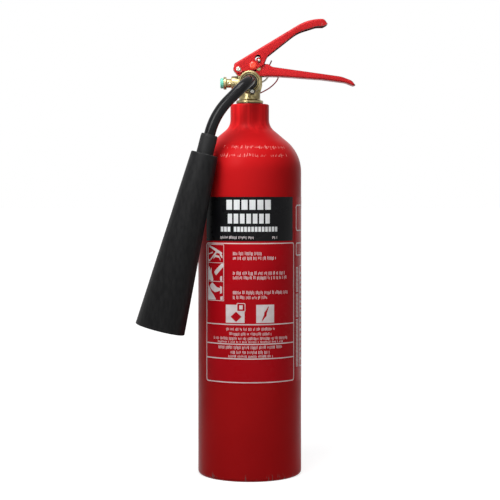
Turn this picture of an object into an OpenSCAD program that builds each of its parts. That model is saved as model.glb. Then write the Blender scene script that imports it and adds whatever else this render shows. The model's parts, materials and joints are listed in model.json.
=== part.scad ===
// Portable carbon dioxide fire extinguisher with a squeeze-lever valve and a swivel discharge horn.
// Millimetres. +Z is up, the levers point along +X and the horn hangs in front, on the -Y side.
// The origin is the centre of the cylinder's flat base.

/* [Cylinder] */
// Outside diameter of the gas cylinder
cylinder_d = 112; // [106:1:118]
// Wall thickness of the gas cylinder
cylinder_wall = 3.6; // [3:0.1:5]
// Thickness of the flat base
base_thickness = 5; // [4:0.5:8]
// Radius of the rounded edge round the base
base_edge_r = 4; // [2:0.5:8]
// Height of the straight wall, where the shoulder starts
shoulder_z = 327; // [312:1:340]
// Radius of the shoulder's outward curve
shoulder_r = 43.5; // [40:0.5:46]
// Turn of that curve before the straight flank, in degrees
shoulder_turn = 50; // [46:1:54]
// Outside diameter of the neck
neck_d = 42; // [38:1:46]
// Radius of the hollow curve between flank and neck
neck_fillet_r = 16; // [12:1:20]
// Length of the straight neck above that curve
neck_length = 16.4; // [14:0.2:24]
// Bore of the neck, which the valve's thread fills
neck_bore_d = 25.2; // [24:0.2:28]

/* [Labels] */
// Height of the lower edge of the printed label
label_z = 103; // [95:1:120]
// Height of the printed label
label_h = 197; // [170:1:205]
// Angle that the front label covers, in degrees
label_angle = 113; // [90:1:118]
// Thickness of the label film
film_t = 0.15; // [0.1:0.05:0.3]
// Angle that the narrow side label covers, in degrees
side_label_angle = 52; // [30:1:60]
// Gap between the two labels, in degrees round the cylinder
label_gap_angle = 4; // [2:1:12]

/* [Valve body] */
// Thickness of the seal between neck and valve flange
neck_seal_t = 1.2; // [0.8:0.1:2]
// Diameter of the valve's flange
flange_d = 29.4; // [28:0.2:34]
// Thickness of the valve's flange
flange_t = 3; // [2:0.2:5]
// Length of the threaded stub that screws into the neck
thread_length = 17; // [14:0.5:18]
// Diameter of the round lower body
body_d = 23; // [22:0.2:24]
// Height of the outlet's axis above the flange
outlet_rise = 18.8; // [18:0.2:24]
// Width of the head block between the handle's cheeks
head_w = 14; // [12:0.5:16]
// Diameter of the round outlet boss
boss_d = 24.4; // [23.6:0.2:25]
// Depth of the outlet boss, front to back
boss_depth = 12.5; // [11:0.5:16]
// Diameter of the burst disc boss on the side
side_boss_d = 15.6; // [14:0.2:17]
// Reach of that side boss from the valve's axis
side_boss_reach = 20; // [17:0.5:24]
// Sideways place of the stem from the valve's axis
stem_x = 3.6; // [3.2:0.1:4]

/* [Stem] */
// Diameter of the valve stem
stem_d = 4.4; // [4:0.1:4.6]
// Diameter of the rubber seat washer
seat_d = 11; // [10:0.2:12]
// Length of the closing spring at rest
spring_length = 17.5; // [16:0.5:18]
// Wire diameter of the closing spring
spring_wire_d = 1; // [0.8:0.1:1.4]
// Mean coil diameter of the closing spring
spring_d = 8; // [7.6:0.2:9]
// Coils of the closing spring
spring_coils = 6; // [4:1:8]
// Outside diameter of the dip tube
dip_tube_d = 10; // [8:0.5:11]
// Gap between the dip tube's end and the cylinder's base
dip_tube_gap = 9; // [5:1:20]

/* [Burst disc] */
// Diameter of the burst disc holder's outer rim
burst_rim_d = 13.8; // [12:0.2:15]
// Diameter of the burst disc holder's neck
burst_neck_d = 9.8; // [9.2:0.2:11]
// Length of the burst disc holder's neck
burst_neck_length = 5.2; // [3:0.2:8]
// Diameter of the coloured cap
cap_d = 11.2; // [9:0.2:13]
// Thickness of the coloured cap outside the holder
cap_t = 3.5; // [2.5:0.1:5]

/* [Levers] */
// Thickness of the carry handle's sheet
handle_sheet = 1.6; // [1.2:0.1:2]
// Thickness of the squeeze lever's sheet
lever_sheet = 1.6; // [1.2:0.1:2]
// Side gap between handle and lever
side_gap = 0.6; // [0.4:0.1:1]
// Reach of the squeeze lever's tip from the valve's axis
lever_reach = 84.6; // [80:0.5:92]
// Reach of the carry handle's tip from the valve's axis
handle_reach = 114.8; // [108:0.5:122]
// Diameter of the pivot pin
pivot_d = 3.8; // [3.4:0.1:4]
// Diameter of the push rivet that presses the stem
push_rivet_d = 5; // [4.4:0.1:5.2]
// Diameter of the push rivet's heads
push_head_d = 8; // [7:0.1:8.2]
// Diameter of the handle's fixing rivet
handle_rivet_d = 3; // [2.6:0.1:3.4]

/* [Safety pin] */
// Diameter of the safety pin
safety_pin_d = 3.2; // [2.8:0.1:3.4]
// Diameter of the hole in the lever round the safety pin
pin_window_d = 6.6; // [6.4:0.1:7]
// Diameter of the pin's flat eye
eye_d = 6.8; // [6:0.1:7.4]
// Thickness of the pin's flat eye
eye_t = 3; // [2.4:0.1:3.4]
// Mean diameter of the pull ring
ring_d = 22; // [19:0.5:26]
// Wire diameter of the pull ring
ring_wire_d = 2; // [1.6:0.1:2.2]
// Thickness of the tamper seal's strap
strap_d = 1.3; // [1:0.1:1.4]

/* [Discharge horn] */
// Outside diameter of the bent pipe
pipe_d = 12; // [11.4:0.1:12.4]
// Wall thickness of the bent pipe
pipe_wall = 1.5; // [1:0.1:2]
// Centreline radius of the elbow in front of the valve
elbow_r = 19; // [17:0.5:22]
// Slope of the upper pipe from the vertical, in degrees
pipe_slope = 45.4; // [40:0.2:50]
// Straight length of pipe between elbow and long bend
pipe_straight = 11.6; // [8:0.2:16]
// Centreline radius of the long bend
long_bend_r = 75; // [60:1:85]
// Slope of the horn from the vertical, in degrees
horn_slope = 14.3; // [12:0.1:18]
// Diameter of the coupling sleeve
sleeve_d = 18; // [17:0.2:19]
// Length of the sleeve that shows above the horn
sleeve_show = 20.8; // [16:0.2:26]
// Depth of the sleeve inside the horn
sleeve_in = 14; // [10:0.5:18]
// Diameter of the horn's upper end
horn_top_d = 28.7; // [27:0.1:31]
// Diameter of the horn's mouth
horn_mouth_d = 53.1; // [48:0.1:60]
// Length of the horn
horn_length = 190.6; // [170:0.2:210]
// Wall thickness of the horn
horn_wall = 2.4; // [1.8:0.1:3]
// Smallest gap between the horn and the cylinder's wall
horn_gap = 2.2; // [2:0.1:5]

/* [Fits] */
// Radial clearance of turning and sliding fits
running_clear = 0.05; // [0.03:0.01:0.09]
// Radial clearance of threads, seals and pressed pieces
seat_clear = 0.03; // [0.02:0.01:0.08]

/* [Hidden] */
$fn = 96;

cylinder_r = cylinder_d / 2;
neck_r = neck_d / 2;
rim_round = 1.5;         // rounding of the neck's upper rim
step_angle = 2.5;        // angle between the points of a turned curve
part_gap = 0.3;          // gap between bodies that pass each other

// The shoulder: a curve, a straight flank and a hollow fillet up to the neck
knuckle_x = cylinder_r - shoulder_r;
flank_x = knuckle_x + shoulder_r * cos(shoulder_turn);
flank_z = shoulder_z + shoulder_r * sin(shoulder_turn);
neck_foot_z = flank_z + (flank_x - neck_r) / tan(shoulder_turn) + neck_fillet_r * tan(shoulder_turn / 2);
neck_top_z = neck_foot_z + neck_length;

// Heights of the valve
flange_z = neck_top_z + neck_seal_t;
flange_top_z = flange_z + flange_t;
outlet_z = flange_top_z + outlet_rise;
thread_r = neck_bore_d / 2 - seat_clear;

// Valve heights counted from the outlet's axis
body_foot = -outlet_rise;
thread_foot = body_foot - flange_t - neck_seal_t - thread_length;
seat_z = -9;             // the face that the seat washer closes
gallery_top = 4.5;       // top of the gas gallery above the seat
gland_floor = 7;         // floor of the gland's pocket
head_top = 11.5;         // top of the head block under the push rivet
body_top = 2.5;          // top of the round body
body_shoulder_r = body_d / 2 + 0.4;
gallery_r = 4;
chamber_r = 6.5;
gland_r = 5;
relief_x = -8.6;         // upright hole that feeds the burst disc
relief_r = 1.3;

// Layers from the middle plane outwards
cheek_in = head_w / 2;
cheek_out = cheek_in + handle_sheet;
lever_in = cheek_out + side_gap;
lever_out = lever_in + lever_sheet;
boss_back = lever_out + 0.7;
boss_front = boss_back + boss_depth;

// Pins, as x and height above the outlet's axis
pivot = [-12.1, 14.6];
push = [stem_x, 18.7];
safety = [10.1, 24.2];
fixing = [9.7, 15.2];
squeeze_max = 10;        // travel of the lever in degrees
lug_r = 3.9;             // reach of the head block's lug round the pivot pin
web_start = 15.2;        // the handle's bottom web begins in front of the valve
lever_rear = 17.3;       // reach of the squeeze lever behind the valve's axis
lever_rear_z = 20.8;     // height of its rear upper corner
lever_rise = 0.6;        // rise of its back for each millimetre forwards
nose_length = 20.7;      // length of its nose, in front of the knee in its back

// Stem, closing spring and inlet plug, as heights in the valve
stem_top = push[1] - push_rivet_d / 2 - running_clear;
seat_t = 2.4;            // thickness of the seat washer
stem_flange_t = 2.2;     // thickness of the stem's flange under the washer
flange_under = seat_z - running_clear - seat_t - stem_flange_t;
spring_foot = flange_under - running_clear - spring_length;
plug_h = spring_foot - running_clear - thread_foot;
tube_socket = plug_h - 2;
stem_r = stem_d / 2;
seal_ring_r = 0.95;      // wire radius of the stem's seal ring

// Burst disc, as distances from the valve's axis
burst_thread_r = burst_neck_d / 2 - 0.9;
disc_x = 12;             // face that the burst disc lies on
disc_t = 0.4;
rim_x = side_boss_reach + burst_neck_length;
rim_t = 3.3;
cap_x = rim_x + rim_t;
cap_plug_r = 3.4;
cap_plug_depth = 2.8;

// Safety pin and tamper seal
eye_gap = 1.9;           // room for the seal's loop between lever and eye
eye_y = lever_out + eye_gap + eye_d / 2;
pin_tip = lever_out + 1;
loop_y = lever_out + eye_gap / 2;
strap_route = [[safety[0] + 2.3, loop_y, safety[1] - 1.2], [17, 12.2, 19], [26, 12.4, 14.6],
    [30.9, 12.2, 9.5], [30.6, 12, 5.6], [27.6, 11.6, 1.2], [21.6, 11, -4.2], [14, 10, -8.6],
    [9.6, 9.4, -10.6]];
strap_tail = [[18.6, 12.3, 17.6], [20.6, 12.3, 19.6], [22.2, 12.3, 22], [24, 12.2, 26]];

// Swivel joint in the outlet boss, as depths in front of the middle plane
swivel_bore_r = 8.2;
spigot_bore_r = 6.45;
spigot_r = spigot_bore_r - running_clear;
spigot_end = 8;
bore_floor = boss_back + 3.5;
collar_front = boss_front - part_gap;
hub_front = boss_front + 2.2;
hub_r = 6.9;
seal_wire_r = 0.5;
seal_depth = 10.6;
pipe_socket = bore_floor + 1.2;
screw_r = (swivel_bore_r + boss_d / 2) / 2 + 0.5;   // distance of the retaining screw from the axis
screw_turn = 14.5;       // its angle from straight down
screw_place = screw_r * [sin(screw_turn), -cos(screw_turn)];
screw_hole_r = 1.25;
washer_r = 3.1;          // dark washer under the retaining screw
washer_t = 0.8;
outlet_neck_r = 8.5;     // round neck between the head block and the outlet boss
gas_hole_r = 3;          // passage from the gallery to the swivel
vent_z = -14.6;          // small vent in front, under the boss
vent_r = 1.9;
vent_depth = 8.2;        // where the vent ends, in front of the middle plane

// The pipe's route and the horn's place
collar_r = swivel_bore_r - part_gap;
pipe_r = pipe_d / 2;
pipe_bore_r = pipe_r - pipe_wall;
elbow_end = [-elbow_r * sin(pipe_slope), -elbow_r * cos(pipe_slope)];
bend_start = elbow_end - pipe_straight * [sin(pipe_slope), cos(pipe_slope)];
bend_end = bend_start - long_bend_r * [cos(horn_slope) - cos(pipe_slope),
    sin(pipe_slope) - sin(horn_slope)];
pipe_lead = 1.6;         // straight pipe between the long bend and the sleeve
sleeve_top = bend_end - pipe_lead * [sin(horn_slope), cos(horn_slope)];
sleeve_r = sleeve_d / 2;
pipe_in = 26;            // pipe inside the sleeve
pipe_lap = 0.4;          // lap of the straight runs over the bends
horn_start = sleeve_show;
horn_end = horn_start + horn_length;
sleeve_end = horn_start + sleeve_in;
horn_floor = sleeve_end + 1.5;
jet_end = sleeve_end + 11;
// The horn lies in an upright plane that keeps its upper end clear of the cylinder
pass_s = (outlet_z + sleeve_top[1] - shoulder_z) / cos(horn_slope);
pass_x = sleeve_top[0] - pass_s * sin(horn_slope);
pass_r = horn_r(pass_s) / cos(horn_slope);
horn_plane = sqrt(pow(cylinder_r + pass_r + horn_gap, 2) - pow(pass_x, 2));

// Radius of the horn's outer wall at a distance along its axis from the sleeve's top
function horn_r(s) = horn_top_d / 2 + (horn_mouth_d - horn_top_d) / 2 * (s - horn_start) / horn_length;

// Points of an arc
function arc(cx, cz, r, from, to) =
    let (n = max(2, ceil(abs(to - from) / step_angle)))
    [for (i = [0:n]) let (a = from + (to - from) * i / n) [cx + r * cos(a), cz + r * sin(a)]];

// Points of an outline whose corners [x, z, radius] are rounded
function unit(v) = v / norm(v);
function short_turn(a) = a > 180 ? a - 360 : a < -180 ? a + 360 : a;
function corner(a, b, c) =
    let (p = [b[0], b[1]], u = unit([a[0], a[1]] - p), v = unit([c[0], c[1]] - p),
        half = acos(u * v) / 2, centre = p + unit(u + v) * b[2] / sin(half),
        reach = b[2] / tan(half), start = p + u * reach - centre, end = p + v * reach - centre,
        a0 = atan2(start[1], start[0]), turn = short_turn(atan2(end[1], end[0]) - a0),
        n = max(2, ceil(abs(turn) / 9)))
    b[2] == 0 ? [p] : [for (i = [0:n]) centre + b[2] * [cos(a0 + turn * i / n), sin(a0 + turn * i / n)]];
function rounded(points) =
    let (n = len(points))
    [for (i = [0:n - 1]) each corner(points[(i + n - 1) % n], points[i], points[(i + 1) % n])];

// Points of a smooth curve through the given points
function curve_point(a, b, c, d, t) =
    0.5 * (2 * b + (c - a) * t + (2 * a - 5 * b + 4 * c - d) * t * t + (3 * b - a - 3 * c + d) * t * t * t);
function curve(points, steps) =
    let (n = len(points))
    [for (i = [0:n - 2], k = [0:steps - 1])
        curve_point(points[max(i - 1, 0)], points[i], points[i + 1], points[min(i + 2, n - 1)], k / steps),
        points[n - 1]];

// One closed tube along a path; side is a direction that the path never runs along
module swept(path, r, sides, side) {
    n = len(path);
    rings = [for (i = [0:n - 1])
        let (t = unit(path[min(i + 1, n - 1)] - path[max(i - 1, 0)]), u = unit(cross(t, side)),
            v = cross(t, u))
        for (k = [0:sides - 1]) path[i] + r * (cos(360 * k / sides) * u + sin(360 * k / sides) * v)];
    walls = [for (i = [0:n - 2], k = [0:sides - 1])
        let (a = i * sides + k, b = i * sides + (k + 1) % sides)
        for (f = [[a, a + sides, b], [b, a + sides, b + sides]]) f];
    ends = [for (k = [1:sides - 2]) for (f = [[0, k, k + 1],
        [(n - 1) * sides, (n - 1) * sides + k + 1, (n - 1) * sides + k]]) f];
    polyhedron(rings, concat(walls, ends), convexity = 6);
}

// An outline in x and z, made solid from y0 to y1
module across(y0, y1) translate([0, y1, 0]) rotate([90, 0, 0]) linear_extrude(y1 - y0) children();

// A round bar along Y at the place p
module bar(p, r, y0, y1) translate([p[0], y1, p[1]]) rotate([90, 0, 0]) cylinder(h = y1 - y0, r = r);

// A turned piece whose axis runs forwards, with points [radius, depth in front of the middle plane]
module front_turned(points) rotate([90, 0, 0]) rotate_extrude() polygon(points);

// A turned piece whose axis runs along -X, with points [radius, distance from the valve's axis]
module side_turned(points) rotate([0, -90, 0]) rotate_extrude() polygon(points);

// Puts children in the valve's frame, and in the horn's frame, whose axis is -Z from the sleeve's top
module at_outlet() translate([0, 0, outlet_z]) children();
module at_horn() at_outlet() translate([sleeve_top[0], -horn_plane, sleeve_top[1]])
    rotate([0, horn_slope, 0]) children();

// ---- Cylinder ----
module gas_cylinder() {
    inner_r = cylinder_r - cylinder_wall;
    knuckle_in = shoulder_r - cylinder_wall;
    corner_in = base_edge_r + cylinder_wall;
    bore_r = neck_bore_d / 2;
    flank_in = knuckle_in * [cos(shoulder_turn), sin(shoulder_turn)] + [knuckle_x, shoulder_z];
    color("firebrick") rotate_extrude($fn = 180) polygon(concat(
        [[0, 0]],
        arc(cylinder_r - base_edge_r, base_edge_r, base_edge_r, -90, 0),
        arc(knuckle_x, shoulder_z, shoulder_r, 0, shoulder_turn),
        arc(neck_r + neck_fillet_r, neck_foot_z, neck_fillet_r, 180 + shoulder_turn, 180),
        arc(neck_r - rim_round, neck_top_z - rim_round, rim_round, 0, 90),
        [[bore_r, neck_top_z], [bore_r, flank_in[1] + (flank_in[0] - bore_r) / tan(shoulder_turn)]],
        arc(knuckle_x, shoulder_z, knuckle_in, shoulder_turn, 0),
        arc(inner_r - corner_in, base_thickness + corner_in, corner_in, 0, -90),
        [[0, base_thickness]]));
}

// A film round the cylinder, from one angle to another
module film(from, angle) rotate([0, 0, from]) rotate_extrude(angle = angle, $fn = 180)
    translate([cylinder_r + seat_clear, label_z]) square([film_t, label_h]);

module front_label() color("black") film(270 - label_angle / 2, label_angle);

module side_label() color("indianred") film(270 + label_angle / 2 + label_gap_angle, side_label_angle);

// ---- Valve ----
module neck_seal() color("dimgray") translate([0, 0, neck_top_z]) difference() {
    cylinder(h = neck_seal_t, r = flange_d / 2 - 0.6);
    translate([0, 0, -1]) cylinder(h = neck_seal_t + 2, r = neck_bore_d / 2);
}

// Side outline of the head block, with a lug for the pivot pin and one for the fixing rivet
head_outline = rounded([
    [-body_d / 2, -10.5, 0], [body_d / 2, -10.5, 0], [13.5, -3, 4], [13.5, 17.8, 1.5],
    [push[0] + lug_r, 17.8, 1], [push[0] + lug_r, head_top, 1], [-7.6, head_top, 1.5],
    [-8.2, pivot[1] + 4, 2],
    [pivot[0] - lug_r, pivot[1] + 4, 3.8], [pivot[0] - lug_r, 12, 2.5], [-12.6, 6.5, 3], [-12.2, -3, 2]]);

module valve_passages() {
    // Chamber, gallery, stem bore and gland pocket
    translate([stem_x, 0, 0]) {
        translate([0, 0, thread_foot - 1]) cylinder(h = seat_z - thread_foot + 1, r = chamber_r);
        translate([0, 0, seat_z - 1]) cylinder(h = gallery_top - seat_z + 1, r = gallery_r);
        cylinder(h = head_top, r = stem_r + running_clear);
        translate([0, 0, gland_floor]) cylinder(h = head_top, r = gland_r + seat_clear);
    }
    // Outlet passage, swivel bores and the screw's hole
    bar([0, 0], gas_hole_r, -spigot_end - 1, 0);
    bar([0, 0], spigot_bore_r, -bore_floor - 1, -spigot_end + 0.5);
    bar([0, 0], swivel_bore_r, -boss_front - 1, -bore_floor);
    bar(screw_place, screw_hole_r, -boss_front - 1, -boss_front + 5);
    bar([0, vent_z], vent_r, -body_d, -vent_depth);
    // Way from the cylinder to the burst disc
    translate([relief_x, 0, thread_foot - 1]) cylinder(h = -thread_foot + 1, r = relief_r);
    side_turned([[0, -relief_x - relief_r], [2.2, -relief_x - relief_r], [2.2, 12], [burst_thread_r, 12],
        [burst_thread_r, side_boss_reach + 1], [0, side_boss_reach + 1]]);
    // Holes for the pivot pin and the fixing rivet
    bar(pivot, pivot_d / 2 + seat_clear, -head_w, head_w);
    bar(fixing, handle_rivet_d / 2 + seat_clear, -head_w, head_w);
}

module valve_body() color("darkkhaki") at_outlet() difference() {
    union() {
        rotate_extrude() polygon(concat(
            [[0, thread_foot], [thread_r - 1.2, thread_foot], [thread_r, thread_foot + 1.2],
                [thread_r, body_foot - flange_t]],
            arc(flange_d / 2 - 0.5, body_foot - flange_t + 0.5, 0.5, -90, 0),
            arc(flange_d / 2 - 0.9, body_foot - 0.9, 0.9, 0, 90),
            arc(body_d / 2 + 2, body_foot + 2, 2, 270, 180),
            [[body_d / 2, -10], [body_shoulder_r, -6]],
            arc(body_shoulder_r - 2, body_top - 2, 2, 0, 90), [[0, body_top]]));
        across(-head_w / 2, head_w / 2) polygon(head_outline);
        bar([0, 0], outlet_neck_r, -boss_back - 1, 0);
        front_turned(rounded([[0, boss_back, 0], [boss_d / 2, boss_back, 0.8], [boss_d / 2, boss_front, 1.4],
            [boss_d / 2 - 2.6, boss_front, 0.6], [boss_d / 2 - 2.6, boss_front - 0.7, 0.3],
            [0, boss_front - 0.7, 0]]));
        // Ear under the boss that takes the retaining screw
        bar(screw_place, washer_r + 0.1, -boss_front + 0.4, -body_d / 2 + 3);
        side_turned(rounded([[0, 5, 0], [side_boss_d / 2, 5, 0], [side_boss_d / 2, side_boss_reach, 1],
            [0, side_boss_reach, 0]]));
    }
    valve_passages();
}

module inlet_plug() color("goldenrod") at_outlet() translate([stem_x, 0, thread_foot]) difference() {
    cylinder(h = plug_h, r = chamber_r - seat_clear);
    translate([0, 0, -1]) cylinder(h = plug_h + 2, r = 2.6);
    translate([0, 0, -1]) cylinder(h = tube_socket + 1, r = dip_tube_d / 2 + seat_clear);
}

module dip_tube() color("silver") {
    length = outlet_z + thread_foot + tube_socket - base_thickness - dip_tube_gap;
    translate([stem_x, 0, base_thickness + dip_tube_gap]) difference() {
        cylinder(h = length, r = dip_tube_d / 2);
        translate([0, 0, -1]) cylinder(h = length + 2, r = dip_tube_d / 2 - 1);
        // The lower end is cut at a slant
        rotate([0, 30, 0]) translate([0, 0, -dip_tube_d]) cube([4 * dip_tube_d, 2 * dip_tube_d,
            2 * dip_tube_d], center = true);
    }
}

module valve_stem() color("silver") at_outlet() translate([stem_x, 0, 0]) {
    translate([0, 0, flange_under - 4]) cylinder(h = stem_top - flange_under + 4, r = stem_r);
    translate([0, 0, flange_under]) cylinder(h = stem_flange_t, r = seat_d / 2 + 0.3);
}

module seat_washer() color("black") at_outlet() translate([stem_x, 0, seat_z - running_clear - seat_t])
    difference() {
        cylinder(h = seat_t, r = seat_d / 2);
        translate([0, 0, -1]) cylinder(h = seat_t + 2, r = stem_r + seat_clear);
    }

module closing_spring() color("gray") at_outlet() translate([stem_x, 0, 0]) {
    steps = 8 * spring_coils;
    rise = spring_length - spring_wire_d;
    path = [for (i = [0:steps]) [spring_d / 2 * cos(45 * i), spring_d / 2 * sin(45 * i),
        spring_foot + spring_wire_d / 2 + rise * i / steps]];
    // Gap between neighbouring coils, measured on the path's own points
    gap = min([for (i = [0:steps - 8]) norm(path[i + 8] - path[i])]) - spring_wire_d;
    echo(spring_coil_gap = gap);
    swept(path, spring_wire_d / 2, 6, [0, 0, 1]);
}

module stem_seal() color("black") at_outlet() translate([stem_x, 0, gland_floor + 1])
    rotate_extrude() translate([stem_r + running_clear + seal_ring_r, 0]) circle(r = seal_ring_r);

module gland_nut() color("goldenrod") at_outlet() translate([stem_x, 0, gland_floor + 2]) difference() {
    cylinder(h = head_top - gland_floor - 1.4, r = gland_r);
    translate([0, 0, -1]) cylinder(h = head_top, r = stem_r + running_clear);
    // Driver slot
    translate([-gland_r - 1, -0.6, head_top - gland_floor - 2.4]) cube([2 * gland_r + 2, 1.2, 3]);
}

// ---- Burst disc on the side ----
module burst_disc() color("silver") at_outlet() side_turned([[0, disc_x], [burst_thread_r - 0.1, disc_x],
    [burst_thread_r - 0.1, disc_x + disc_t], [0, disc_x + disc_t]]);

module burst_disc_holder() color("darkkhaki") at_outlet() difference() {
    side_turned(rounded([
        [2, disc_x + disc_t, 0], [burst_thread_r - seat_clear, disc_x + disc_t, 0.3],
        [burst_thread_r - seat_clear, side_boss_reach, 0], [burst_neck_d / 2, side_boss_reach, 0],
        [burst_neck_d / 2, rim_x, 0.6], [burst_rim_d / 2, rim_x, 0.6], [burst_rim_d / 2, cap_x, 0.6],
        [cap_plug_r, cap_x, 0], [cap_plug_r, cap_x - cap_plug_depth - 0.2, 0],
        [2, cap_x - cap_plug_depth - 0.2, 0]]));
    // Vents let the gas out round the neck
    for (turn = [0, 90]) rotate([turn, 0, 0])
        bar([-rim_x + burst_neck_length / 2, 0], 0.8, -burst_neck_d, burst_neck_d);
}
module burst_cap() color("mediumaquamarine") at_outlet() side_turned(rounded([
    [0, cap_x - cap_plug_depth, 0], [cap_plug_r - seat_clear, cap_x - cap_plug_depth, 0.4],
    [cap_plug_r - seat_clear, cap_x, 0],
    [cap_d / 2, cap_x, 0], [cap_d / 2, cap_x + cap_t, 0.9], [0, cap_x + cap_t, 0]]));

// ---- Levers ----
// Side outline of the carry handle: rear, belly, tip, back, ear for the safety pin, notch, rear again
handle_outline = rounded([
    [-18.1, 14.7, 1.5], [-12.8, 7.7, 2], [33, 6.9, 60], [handle_reach - 37, 3.7, 90],
    [handle_reach - 11, 0.3, 20], [handle_reach - 2.4, -3.1, 0.8], [handle_reach, -2.5, 0.6],
    [handle_reach - 4.6, 2.6, 7], [handle_reach - 15.5, 6.8, 30],
    [24.5, 17.3, 5], [19.8, 20.4, 3], [14.4, 20.4, 2], [13.5, safety[1] + 3.3, 3],
    [6.9, safety[1] + 3.3, 2.6], [push[0] + 3.5, 12.9, 0.8], [push[0] - 3.4, 12.9, 0.8],
    [push[0] - 3.4, 18, 1], [-8, 18, 5], [-16.9, 18.8, 2.5]]);
module carry_handle() color("red") at_outlet() difference() {
    across(-cheek_out, cheek_out) polygon(handle_outline);
    translate([0, 0, handle_sheet]) across(-cheek_in, cheek_in) polygon(handle_outline);
    translate([-handle_reach, -cheek_in, -handle_reach])
        cube([handle_reach + web_start, head_w, 2 * handle_reach]);
    // Round notch over the outlet's neck
    bar([0, 0], outlet_neck_r + seat_clear, -cheek_out - 1, -cheek_in + 1);
    bar(pivot, pivot_d / 2 + seat_clear, -cheek_out - 1, cheek_out + 1);
    bar(fixing, handle_rivet_d / 2 + seat_clear, -cheek_out - 1, cheek_out + 1);
    bar(safety, safety_pin_d / 2 + running_clear, -cheek_out - 1, cheek_out + 1);
}

// Side outline of the squeeze lever: rear, back, tip, belly, front corner, lower edge, pivot lug.
// The nose keeps its shape and slides along the back's slope as the reach changes.
knee_x = lever_reach - nose_length;
knee_z = lever_rear_z + (knee_x + lever_rear) * lever_rise;
lever_outline = rounded([
    [-lever_rear, lever_rear_z - 6.3, 3], [-lever_rear, lever_rear_z, 3], [knee_x, knee_z, 50],
    [lever_reach - 4, knee_z - 0.3, 4], [lever_reach, knee_z - 5.8, 0.8],
    [lever_reach - 5, knee_z - 8.3, 2], [lever_reach - 12.5, knee_z - 8.4, 15],
    [knee_x - 12.2, knee_z - 14.8, 40], [19, 28.9, 5], [15.3, 19.7, 1.5],
    [6, 13.7, 6], [-7.5, 12.6, 3], [-9.2, 10.6, 1.5], [2.1 - lever_rear, 10.6, 3]]);

// Window round the safety pin, long enough for the lever's travel
module pin_window() {
    slack = (pin_window_d - safety_pin_d) / 2 - part_gap;
    arm = safety - pivot;
    travel = norm(arm) * squeeze_max * PI / 180 - slack;
    across(-lever_out - 1, lever_out + 1) translate(safety) rotate(atan2(arm[1], arm[0]) + 90) union() {
        circle(r = pin_window_d / 2);
        translate([0, -pin_window_d / 2]) square([travel, pin_window_d]);
        translate([travel, 0]) circle(r = pin_window_d / 2);
    }
}

module squeeze_lever() color("red") at_outlet() difference() {
    across(-lever_out, lever_out) polygon(lever_outline);
    translate([0, 0, -lever_sheet * 1.15]) across(-lever_in, lever_in) polygon(lever_outline);
    bar(pivot, pivot_d / 2 + running_clear, -lever_out - 1, lever_out + 1);
    bar(push, push_rivet_d / 2 + seat_clear, -lever_out - 1, lever_out + 1);
    pin_window();
}

// A rivet or headed pin through both sides
module headed(p, r, head_r, head_t, reach)
    for (side = [0, 180]) translate([p[0], 0, p[1]]) rotate([0, 0, side]) front_turned(rounded([
        [0, 0, 0], [r, 0, 0], [r, reach, 0], [head_r, reach, 0],
        [head_r, reach + head_t, head_t * 0.8], [0, reach + head_t, 0]]));

module pivot_pin() color("silver") at_outlet()
    headed(pivot, pivot_d / 2, pivot_d / 2 + 0.7, 0.7, lever_out + 0.1);

module push_rivet() color("tomato") at_outlet()
    headed(push, push_rivet_d / 2, push_head_d / 2, 1.3, lever_out + seat_clear);

module handle_rivet() color("goldenrod") at_outlet()
    headed(fixing, handle_rivet_d / 2, handle_rivet_d / 2 + 0.8, 0.3, cheek_out + seat_clear);

// ---- Safety pin, pull ring and tamper seal ----
module safety_pin() color("silver") at_outlet() translate([safety[0], 0, safety[1]]) difference() {
    union() {
        rotate([0, 0, 180]) front_turned(rounded([[0, -pin_tip, 0], [safety_pin_d / 2, -pin_tip, 1],
            [safety_pin_d / 2, eye_y - 1, 0], [0, eye_y - 1, 0]]));
        translate([-eye_t / 2, eye_y, 0]) rotate([0, 90, 0]) cylinder(h = eye_t, r = eye_d / 2);
    }
    translate([-eye_t, eye_y, 0]) rotate([0, 90, 0]) cylinder(h = 2 * eye_t, r = ring_wire_d / 2 + 0.5);
}

module pull_ring() color("silver") at_outlet() translate([safety[0], eye_y, safety[1] - ring_d / 2])
    rotate([90, 0, 0]) rotate_extrude() translate([ring_d / 2, 0]) circle(r = ring_wire_d / 2);

// The strap runs from the pin down behind the handle to the valve's side, by hand-chosen points
module tamper_seal() color("crimson") at_outlet() {
    translate([safety[0], loop_y, safety[1]]) rotate([90, 0, 0]) rotate_extrude()
        translate([safety_pin_d / 2 + strap_d / 2 + 0.1, 0]) circle(r = strap_d / 2);
    swept(curve(strap_route, 4), strap_d / 2, 8, [0, 1, 0]);
    swept(curve(strap_tail, 3), strap_d / 2, 8, [0, 1, 0]);
    // Lock where the tail leaves the strap
    translate([18.6, 12.3, 17.9]) rotate([0, 30, 0]) cube([4, 1.9, 3], center = true);
}

// ---- Swivel outlet and horn ----
module at_screw() at_outlet() translate([screw_place[0], -boss_front, screw_place[1]]) children();

module retaining_washer() color("dimgray") at_screw()
    front_turned([[screw_hole_r + 0.05, 0], [washer_r, 0], [washer_r, washer_t],
        [screw_hole_r + 0.05, washer_t]]);

module retaining_screw() color("silver") at_screw() difference() {
    front_turned(rounded([[0, -4.5, 0], [screw_hole_r - 0.05, -4.5, 0.2], [screw_hole_r - 0.05, washer_t, 0],
        [2.1, washer_t, 0], [2.1, washer_t + 1.3, 0.9], [0, washer_t + 1.3, 0]]));
    // Cross slots
    for (turn = [0, 90]) rotate([0, turn, 0]) translate([0, -washer_t - 1.3, 0])
        cube([2.6, 1.4, 0.6], center = true);
}

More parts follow.
